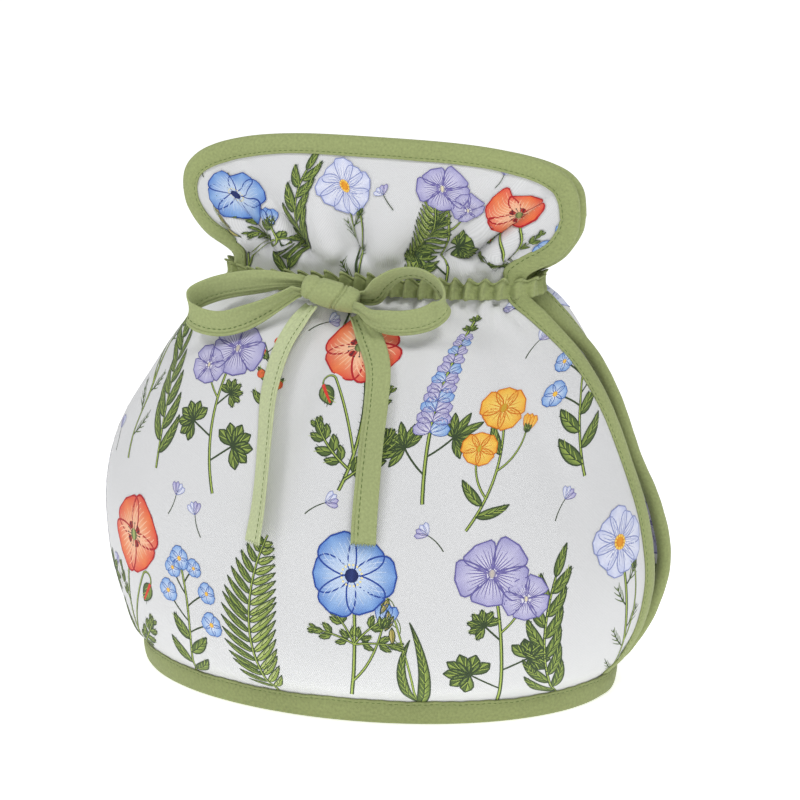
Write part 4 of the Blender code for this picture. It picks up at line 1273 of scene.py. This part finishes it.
front_binding, front_seams = build_binding("front_binding_tape", "front_binding", front, 1.0)
back_binding, back_seams = build_binding("back_binding_tape", "back_binding", back, 2.6)
front_binding_thread = sew("front_binding_thread", front_seams)
back_binding_thread = sew("back_binding_thread", back_seams)

# ---------------------------------------------------------------- Hem band
# One strip of the same green cotton, folded up 10 mm over the bottom edges of both panels and over the ends
# of their bindings, its colour painted a little darker as painted shade under the belly. It is sewn through
# close to its top edge, which wavers a little, and the cosy stands on its fold.
HEM_STATIONS = 420
# Height and lift off the panels' middle, from the band's turned edge down to its fold.
HEM_OUTER = (
    (9.95, 1.54), (10.15, 1.80), (10.05, 2.16), (9.40, 2.34), (8.75, 2.14), (8.10, 2.38), (6.60, 2.66),
    (4.40, 2.76), (2.60, 2.72), (1.20, 2.52), (0.35, 2.05), (0.0, 1.25),
)
HEM_POCKET = ((1.0, -1.54), (1.0, 1.54))
HEM_ROUND = HEM_OUTER + tuple((height, -lift) for height, lift in HEM_OUTER[::-1]) + HEM_POCKET
HEM_STITCH = 8.75
HEM_STITCH_LIFT = 2.12
HEM_SAG = 1.0
HEM_MIDDLE_ROW = 0.5
FOOT_HALF_DEPTH = 72.0
SLIT_BULGE = 0.8
SLIT_REACH = 13.0
HEM_ROW_LOW = SECTIONS[0][0]
HEM_ROW_HIGH = SECTIONS[1][0]


def round_section(row, angle):
    """Place and outward level normal on the whole round of the cosy at a row."""
    wide = np.where(np.cos(angle) > 0.0, level("to_handle", row), level("to_spout", row))
    depth = level("depth", row)
    place = np.stack([wide * np.cos(angle), depth * np.sin(angle), level("height", row) + 0.0 * angle], -1)
    normal = np.stack([depth * np.cos(angle), wide * np.sin(angle), 0.0 * angle], -1)
    return place, unit(normal)


def even_angles(row, count):
    """Angles round a row that stand an even distance apart along the cloth."""
    fine = np.linspace(0.0, 2.0 * math.pi, 1441)
    run = run_along(round_section(row, fine)[0], 0)
    return np.interp(np.arange(count) / count * run[-1], run, fine), np.arange(count) / count * run[-1]


def build_hem_band():
    angle, run = even_angles(HEM_MIDDLE_ROW, HEM_STATIONS)
    low, normal = round_section(0.0, angle)
    high = round_section(1.0, angle)[0]
    slits = SLIT_BULGE * hump(np.sin(angle) * FOOT_HALF_DEPTH, 0.0, SLIT_REACH)
    sag = HEM_SAG * smooth_step(-np.cos(angle + 0.7))
    waver = wander(run, 0.4, 0.45) + 0.12 * np.sin(run * 0.9) - sag

    def at(height, lift):
        raised = height + (waver * smooth_step((height - 4.0) / 5.0))
        share = (raised - HEM_ROW_LOW) / (HEM_ROW_HIGH - HEM_ROW_LOW)
        place = low + (high - low) * share[:, None]
        grown = lift + np.sign(lift) * slits * min(abs(lift) - 1.25, 1.0) * (height > 1.0)
        place = place + normal * (grown * (1.0 + 0.03 * wander(run * 1.7, 2.0)))[:, None]
        place[:, 2] = raised
        return place

    rings = np.stack([at(height, lift) for height, lift in HEM_ROUND], 1)
    item = make_swept("hem_band_cloth", rings, run, True, hem_painted_shade_cotton, "hem_band")
    return item, [(at(HEM_STITCH, sign * HEM_STITCH_LIFT), normal * sign) for sign in (1.0, -1.0)]


hem_band, hem_seams = build_hem_band()
hem_thread = sew("hem_thread", hem_seams)

# ---------------------------------------------------------------- Gathered casing at the neck
# A strip of the green cotton sewn round the neck as a casing, with its edges turned in. The tie inside draws
# it up into fifty ruffles: the top edge zigzags and stands out most, and the lower edge lies nearly smooth.
CASING_LOW = 165.4
CASING_TALL = 7.6
CASING_STAND_OFF = 3.7
CASING_DRAWN_IN = 2.8
RUFFLES = 50
RUFFLE_STEPS = 18
CASING_SPOUT_DROP = 2.8
RUFFLE_DEPTH = 2.7
RUFFLE_RISE = 1.95
RUFFLE_LEAN = 0.15
# Place up the strip, stand-off from the cloth, share of the ruffle's depth, and share of its rise.
CASING_PROFILE = (
    (0.02, -1.2, 0.00, 0.0), (0.50, -1.3, 0.10, 0.1), (0.84, -0.4, 0.70, 0.8), (0.97, 0.8, 1.00, 1.0),
    (1.03, 1.50, 1.10, 1.0), (1.03, 2.15, 1.15, 1.0), (0.97, 2.45, 1.15, 1.0), (0.905, 2.25, 1.12, 1.0),
    (0.88, 1.55, 1.08, 1.0), (0.84, 2.05, 1.05, 0.98), (0.74, 2.35, 0.95, 0.85), (0.60, 2.40, 0.85, 0.60),
    (0.44, 2.35, 0.78, 0.30), (0.28, 2.30, 0.70, 0.08), (0.12, 2.05, 0.60, 0.0), (0.0, 1.30, 0.45, 0.0),
    (-0.03, 0.1, 0.20, 0.0),
)


def build_casing():
    count = RUFFLES * RUFFLE_STEPS
    angle, run = even_angles(NECK_LOW_ROW, count)
    wobble = 0.9 * np.sin(run * 0.083) + 0.6 * np.sin(run * 0.19 + 1.0)
    phase = np.arange(count) * 2.0 * math.pi / RUFFLE_STEPS + wobble
    size = 1.0 + 0.24 * np.sin(run * 0.37 + 0.5) + 0.16 * np.sin(run * 0.71)
    at_end = np.abs(np.cos(angle)) ** 6
    size = size * (1.0 - 0.70 * at_end)
    zigzag = np.cos(phase) + 0.12 * np.cos(2.0 * phase) - 0.06

    def at(share, stand_off, ruffle, rise):
        row = NECK_LOW_ROW + share * (NECK_TOP_ROW - NECK_LOW_ROW)
        place, normal = round_section(row, angle)
        along = np.stack([-normal[:, 1], normal[:, 0], 0.0 * angle], 1)
        slipped = phase + 1.5 * (1.0 - share)
        pleats = 0.55 * smooth_step(1.0 - 1.4 * share) * np.cos(2.0 * slipped + 1.2)
        wave = RUFFLE_DEPTH * ruffle * size * (np.cos(slipped) + 0.20 * np.cos(2.0 * slipped) + pleats)
        slide = RUFFLE_LEAN * ruffle * size * np.sin(slipped)
        out = CASING_STAND_OFF - CASING_DRAWN_IN * at_end + stand_off + wave
        place = place + normal * out[:, None] + along * slide[:, None]
        drop = CASING_SPOUT_DROP * smooth_step(-np.cos(angle) * 1.3)
        place[:, 2] = CASING_LOW - drop + share * CASING_TALL + RUFFLE_RISE * rise * size * zigzag
        return place

    rings = np.stack([at(*line) for line in CASING_PROFILE], 1)
    return make_swept("neck_casing_cloth", rings, run, True, binding_cotton, "neck_casing")


neck_casing = build_casing()

# ---------------------------------------------------------------- Tie tape, bow and knot
# A 10 mm tape of paler green cotton, folded lengthwise and sewn along its open edge. It comes out of the
# casing at the front and is tied in a flat bow, with two free ends that hang down and are cut straight.
TIE_GREEN = (0.360, 0.412, 0.184, 1.0)
# The second tape colour is the tie's green painted paler for the left tail: painted light where it faces up
# towards the left lamp.
TIE_PAINTED_LIGHT = (0.545, 0.605, 0.345, 1.0)
TIE_TONE = {"Clouds": 0.10, "Slubs": 0.26}
TIE_WIDE = 10.4
TIE_HALF = 0.55
TIE_STITCH = 0.44
TIE_LAP = 0.72
TIE_PLACES = np.array([
    -1.0, -0.97, -0.88, -0.7, -0.45, -0.2, 0.05, 0.25, 0.36, 0.44,
    0.52, 0.61, 0.67, 0.71, 0.74, 0.80, 0.89, 0.97, 1.0,
])
KNOT_CENTRE = np.array([-7.6, -34.1, 166.4])
KNOT_LONG = 24.0
KNOT_TALL = 11.6
KNOT_DEEP = 10.2
KNOT_END = 0.64
KNOT_TILT = math.radians(-13.0)
KNOT_AXIS = np.array([math.cos(KNOT_TILT), 0.0, math.sin(KNOT_TILT)])
KNOT_LIFT = np.array([-math.sin(KNOT_TILT), 0.0, math.cos(KNOT_TILT)])
KNOT_FRONT = np.array([0.0, -1.0, 0.0])
KNOT_STEPS = 90
KNOT_SIDES = 64
# Creases of the knot: depth, place along it and half width, as shares of its size and half length.
KNOT_GROOVES = ((0.17, 0.30, 0.040), (0.13, 0.42, 0.032), (0.12, -0.58, 0.07))

# Middle line of each loop, from the knot round to the knot, and how far the tape leans over, in degrees.
LOOP_STEPS = 150
LOOP_POINTS = ("x", "y", "z", "lean")
LEFT_LOOP = (
    (-21.2, -33.0, 170.4, 10.0),
    (-35.0, -32.4, 169.4, 6.0),
    (-52.0, -30.0, 165.8, 2.0),
    (-62.6, -29.0, 162.2, 0.0),
    (-68.2, -32.0, 158.9, -4.0),
    (-67.6, -37.4, 154.6, -6.0),
    (-60.5, -40.2, 152.2, -6.0),
    (-50.0, -41.0, 152.6, -4.0),
    (-36.5, -40.0, 158.2, 2.0),
    (-21.5, -36.6, 167.4, 8.0),
)
RIGHT_LOOP = (
    (5.2, -32.4, 165.8, 10.0),
    (10.0, -33.4, 167.2, 26.0),
    (14.6, -34.8, 172.8, 42.0),
    (22.0, -35.8, 177.6, 54.0),
    (31.5, -36.4, 178.4, 50.0),
    (39.5, -37.6, 173.8, 30.0),
    (42.2, -40.0, 167.4, 12.0),
    (36.5, -42.6, 162.0, 4.0),
    (25.5, -44.0, 159.4, 2.0),
    (13.5, -42.4, 159.4, 6.0),
    (5.8, -37.6, 162.0, 10.0),
)
# Middle line of each tail, from the knot down to its cut end, and how far it stands off the front's round.
TAIL_STEPS = 110
TAIL_POINTS = ("x", "z", "off")
LEFT_TAIL = (
    (-15.4, 160.9, 9.0),
    (-19.4, 154.8, 8.4),
    (-22.6, 145.6, 7.4),
    (-23.0, 132.0, 6.6),
    (-20.8, 117.6, 6.0),
    (-19.2, 102.6, 5.6),
    (-18.9, 89.4, 5.4),
    (-20.0, 77.2, 5.4),
)
RIGHT_TAIL = (
    (3.6, 158.6, 3.6),
    (10.0, 153.4, 4.0),
    (18.6, 143.4, 4.8),
    (22.0, 131.0, 4.8),
    (23.4, 117.6, 4.4),
    (24.4, 102.6, 3.9),
    (24.9, 89.4, 3.6),
    (25.3, 80.0, 3.6),
)

tie_cotton = cloth_material("pale_green_tape", TIE_GREEN, PLAIN, TIE_TONE, 0.09, 0.9)
# Paler copy of the tie tape: painted light for the left tail, not a different cloth.
painted_light_tape_cotton = cloth_material("green_tape_painted_light", TIE_PAINTED_LIGHT, PLAIN, TIE_TONE, 0.09, 0.9)


def tape_frame(place, across):
    """Unit directions of a tape along its line: along it, over its width, and out of its face."""
    tangent = unit(np.gradient(place, axis=0))
    width = unit(across - tangent * np.sum(across * tangent, 1, keepdims=True))
    return tangent, width, np.cross(tangent, width)


def tape_sections(place, width, face, wide, pleats, way):
    """Sections of the folded tape: a round fold on one edge; near the other, a lapped edge and a sewn dip."""
    w = np.sort(TIE_PLACES * way)
    rim = (1.0 - np.abs(w) ** 10) ** 0.5
    dip = 0.18 * hump(w * way, TIE_STITCH, 0.055)
    lap = 0.16 * (w * way > TIE_LAP) + 0.40 * hump(w * way, TIE_LAP, 0.035)
    plump = TIE_HALF * rim * (1.0 + 0.12 * (np.abs(w) > 0.75)) - (dip + lap) * rim
    cup = 0.35 * (w**2 - 0.33)
    ripple = pleats[:, None] * (np.cos(w * 7.5 + 0.6) + 0.5 * np.cos(w * 13.0))
    spine = place[:, None] + width[:, None] * (0.5 * wide[:, None] * w)[..., None]
    spine = spine + face[:, None] * (cup + ripple)[..., None]
    over = spine + face[:, None] * plump[:, None]
    under = spine - face[:, None] * plump[:, None]
    return np.concatenate([over, under[:, ::-1][:, 1:-1]], 1), spine


def tape_seams(place, width, face, wide, way):
    """The row of stitches near a tape's open edge, on its two faces."""
    line = place + width * 0.5 * wide[:, None] * TIE_STITCH * way
    sunk = TIE_HALF - 0.18
    return [(line + face * sunk, face), (line - face * sunk, -face)]


def build_loop(name, node, table, way):
    """Loop of the bow, pinched and pleated at both ends, which are cut square to the knot's flank."""
    rows = np.linspace(0.0, len(table) - 1.0, LOOP_STEPS)
    x, y, z, lean = (column_at(table, LOOP_POINTS, column, rows) for column in LOOP_POINTS)
    place, lean = np.stack([x, y, z], 1), np.radians(lean)
    _, width, face = tape_frame(place, np.stack([0.0 * lean, -np.sin(lean), np.cos(lean)], 1))
    near = np.minimum(np.arange(LOOP_STEPS), np.arange(LOOP_STEPS)[::-1]) / LOOP_STEPS
    wide = TIE_WIDE * (0.55 + 0.45 * smooth_step(near / 0.17))
    pleats = 0.55 * (1.0 - smooth_step(near / 0.26))
    rings, _ = tape_sections(place, width, face, wide, pleats, way)
    out = KNOT_AXIS * math.copysign(1.0, place[0][0] - KNOT_CENTRE[0])
    seat = KNOT_CENTRE + out * (0.5 * KNOT_LONG - 0.8)
    for end in (0, -1):
        rings[end] += out * ((seat - rings[end]) @ out)[:, None]
    for after in (1, 2, 3, -2, -3, -4):
        rings[after] += out * np.maximum((seat + out * 0.1 - rings[after]) @ out, 0.0)[:, None]
    item = make_swept(name, rings, run_along(place, 0), False, tie_cotton, node)
    seams = tape_seams(place, width, face, wide, way)
    return item, [(line[10:-10], normal[10:-10]) for line, normal in seams]


def front_of_cloth(x, z):
    rows = np.linspace(1.0, NECK_LOW_ROW, 91)
    row = np.interp(z, level("height", rows), rows)
    wide = np.where(x > 0.0, level("to_handle", row), level("to_spout", row))
    return -level("depth", row) * np.sqrt(1.0 - (x / wide) ** 2)


def build_tail(name, node, table, slant, way, seed, cotton):
    """Free end of the tape, drawn in and pleated under the knot and flat at its cut end."""
    rows = np.linspace(0.0, len(table) - 1.0, TAIL_STEPS)
    x, z, off = (column_at(table, TAIL_POINTS, column, rows) for column in TAIL_POINTS)
    share = np.linspace(0.0, 1.0, TAIL_STEPS)
    off = off + 0.35 * np.sin(9.0 * share + seed) * share
    place = np.stack([x, front_of_cloth(x, z) - off, z], 1)
    turn = slant + 0.10 * np.sin(6.0 * share + seed)
    tangent, width, face = tape_frame(place, np.stack([np.cos(turn), np.sin(turn), 0.0 * turn], 1))
    wide = TIE_WIDE * (0.72 + 0.28 * smooth_step(share / 0.16))
    pleats = 0.6 * (1.0 - smooth_step(share / 0.32))
    rings, spine = tape_sections(place, width, face, wide, pleats, way)
    item = make_swept(name, rings, run_along(place, 0), False, cotton, node)
    seams = [(line[4:-1], normal[4:-1]) for line, normal in tape_seams(place, width, face, wide, way)]
    return item, seams, (spine[-1], tangent[-1], face[-1])


FRAYED_YARNS = 46
YARN_HALF = 0.13


def fray(name, end, cotton):
    """Short yarns that stand out of a tail's cut end."""
    line, downward, face = end
    across = line[-1] - line[0]
    points, faces = [], []
    for k, share in enumerate(np.linspace(0.01, 0.99, FRAYED_YARNS)):
        root = line[0] + across * share + face * 0.32 * math.sin(2.7 * k)
        reach = 0.75 + 0.50 * math.sin(5.1 * k + share)
        sway = unit(across) * 0.30 * math.sin(3.3 * k) + face * 0.22 * math.sin(1.9 * k)
        base = [
            root - downward * 0.5 + (unit(across) * math.cos(turn) + face * math.sin(turn)) * YARN_HALF
            for turn in (0.0, 2.1, 4.2)
        ]
        first = len(points)
        points += base
        points += [place + downward * (0.5 + 0.6 * reach) + sway * 0.4 for place in base]
        points.append(root + downward * reach + sway)
        for i, j in ((0, 1), (1, 2), (2, 0)):
            faces.append((first + i, first + j, first + 3 + j, first + 3 + i))
            faces.append((first + 3 + i, first + 3 + j, first + 6))
    return make_piece(name, points, faces, None, cotton)


def build_knot():
    """Tape wrapped once round the crossing: a broad turn, slanting creases, and drawn-in ends."""
    turn = np.arange(KNOT_SIDES) * 2.0 * math.pi / KNOT_SIDES
    rings = []
    for place in np.linspace(-1.0, 1.0, KNOT_STEPS):
        swell = KNOT_END + (1.0 - KNOT_END) * math.sqrt(max(1.0 - abs(place) ** 2.4, 0.0))
        slanted = place - 0.10 * np.cos(turn) - 0.05 * np.sin(2.0 * turn)
        groove = sum(deep * hump(slanted, middle, half_width) for deep, middle, half_width in KNOT_GROOVES)
        fluted = 0.035 * np.cos(turn * 5.0 + 1.0) * smooth_step((abs(place) - 0.55) / 0.45)
        soft = 0.02 * np.sin(turn * 3.0 + place * 4.0)
        size = 0.5 * swell * (1.0 - groove + fluted + soft)
        ring = np.outer(KNOT_TALL * size * np.cos(turn), KNOT_LIFT)
        ring += np.outer(KNOT_DEEP * size * np.sin(turn), KNOT_FRONT)
        rings.append(ring + KNOT_CENTRE + KNOT_AXIS * place * 0.5 * KNOT_LONG)
    run = np.linspace(0.0, KNOT_LONG, KNOT_STEPS)
    return make_swept("tie_knot_wrap", np.array(rings), run, False, tie_cotton, "tie_knot")


tie_knot = build_knot()
loop_left, left_loop_seams = build_loop("tie_loop_left_tape", "tie_loop_left", LEFT_LOOP, -1.0)
loop_right, right_loop_seams = build_loop("tie_loop_right_tape", "tie_loop_right", RIGHT_LOOP, -1.0)
# The left tail and its frayed yarns take the tape painted paler, as painted light on their upward,
# left-facing side.
tail_left, left_tail_seams, left_end = build_tail(
    "tie_tail_left_tape", "tie_tail_left", LEFT_TAIL, math.radians(-38.0), 1.0, 0.5, painted_light_tape_cotton)
tail_right, right_tail_seams, right_end = build_tail(
    "tie_tail_right_tape", "tie_tail_right", RIGHT_TAIL, 0.0, -1.0, 2.0, tie_cotton)
left_fray = fray("tie_tail_left_fray", left_end, painted_light_tape_cotton)
right_fray = fray("tie_tail_right_fray", right_end, tie_cotton)
tie_thread = sew("tie_thread", left_loop_seams + right_loop_seams + left_tail_seams + right_tail_seams)
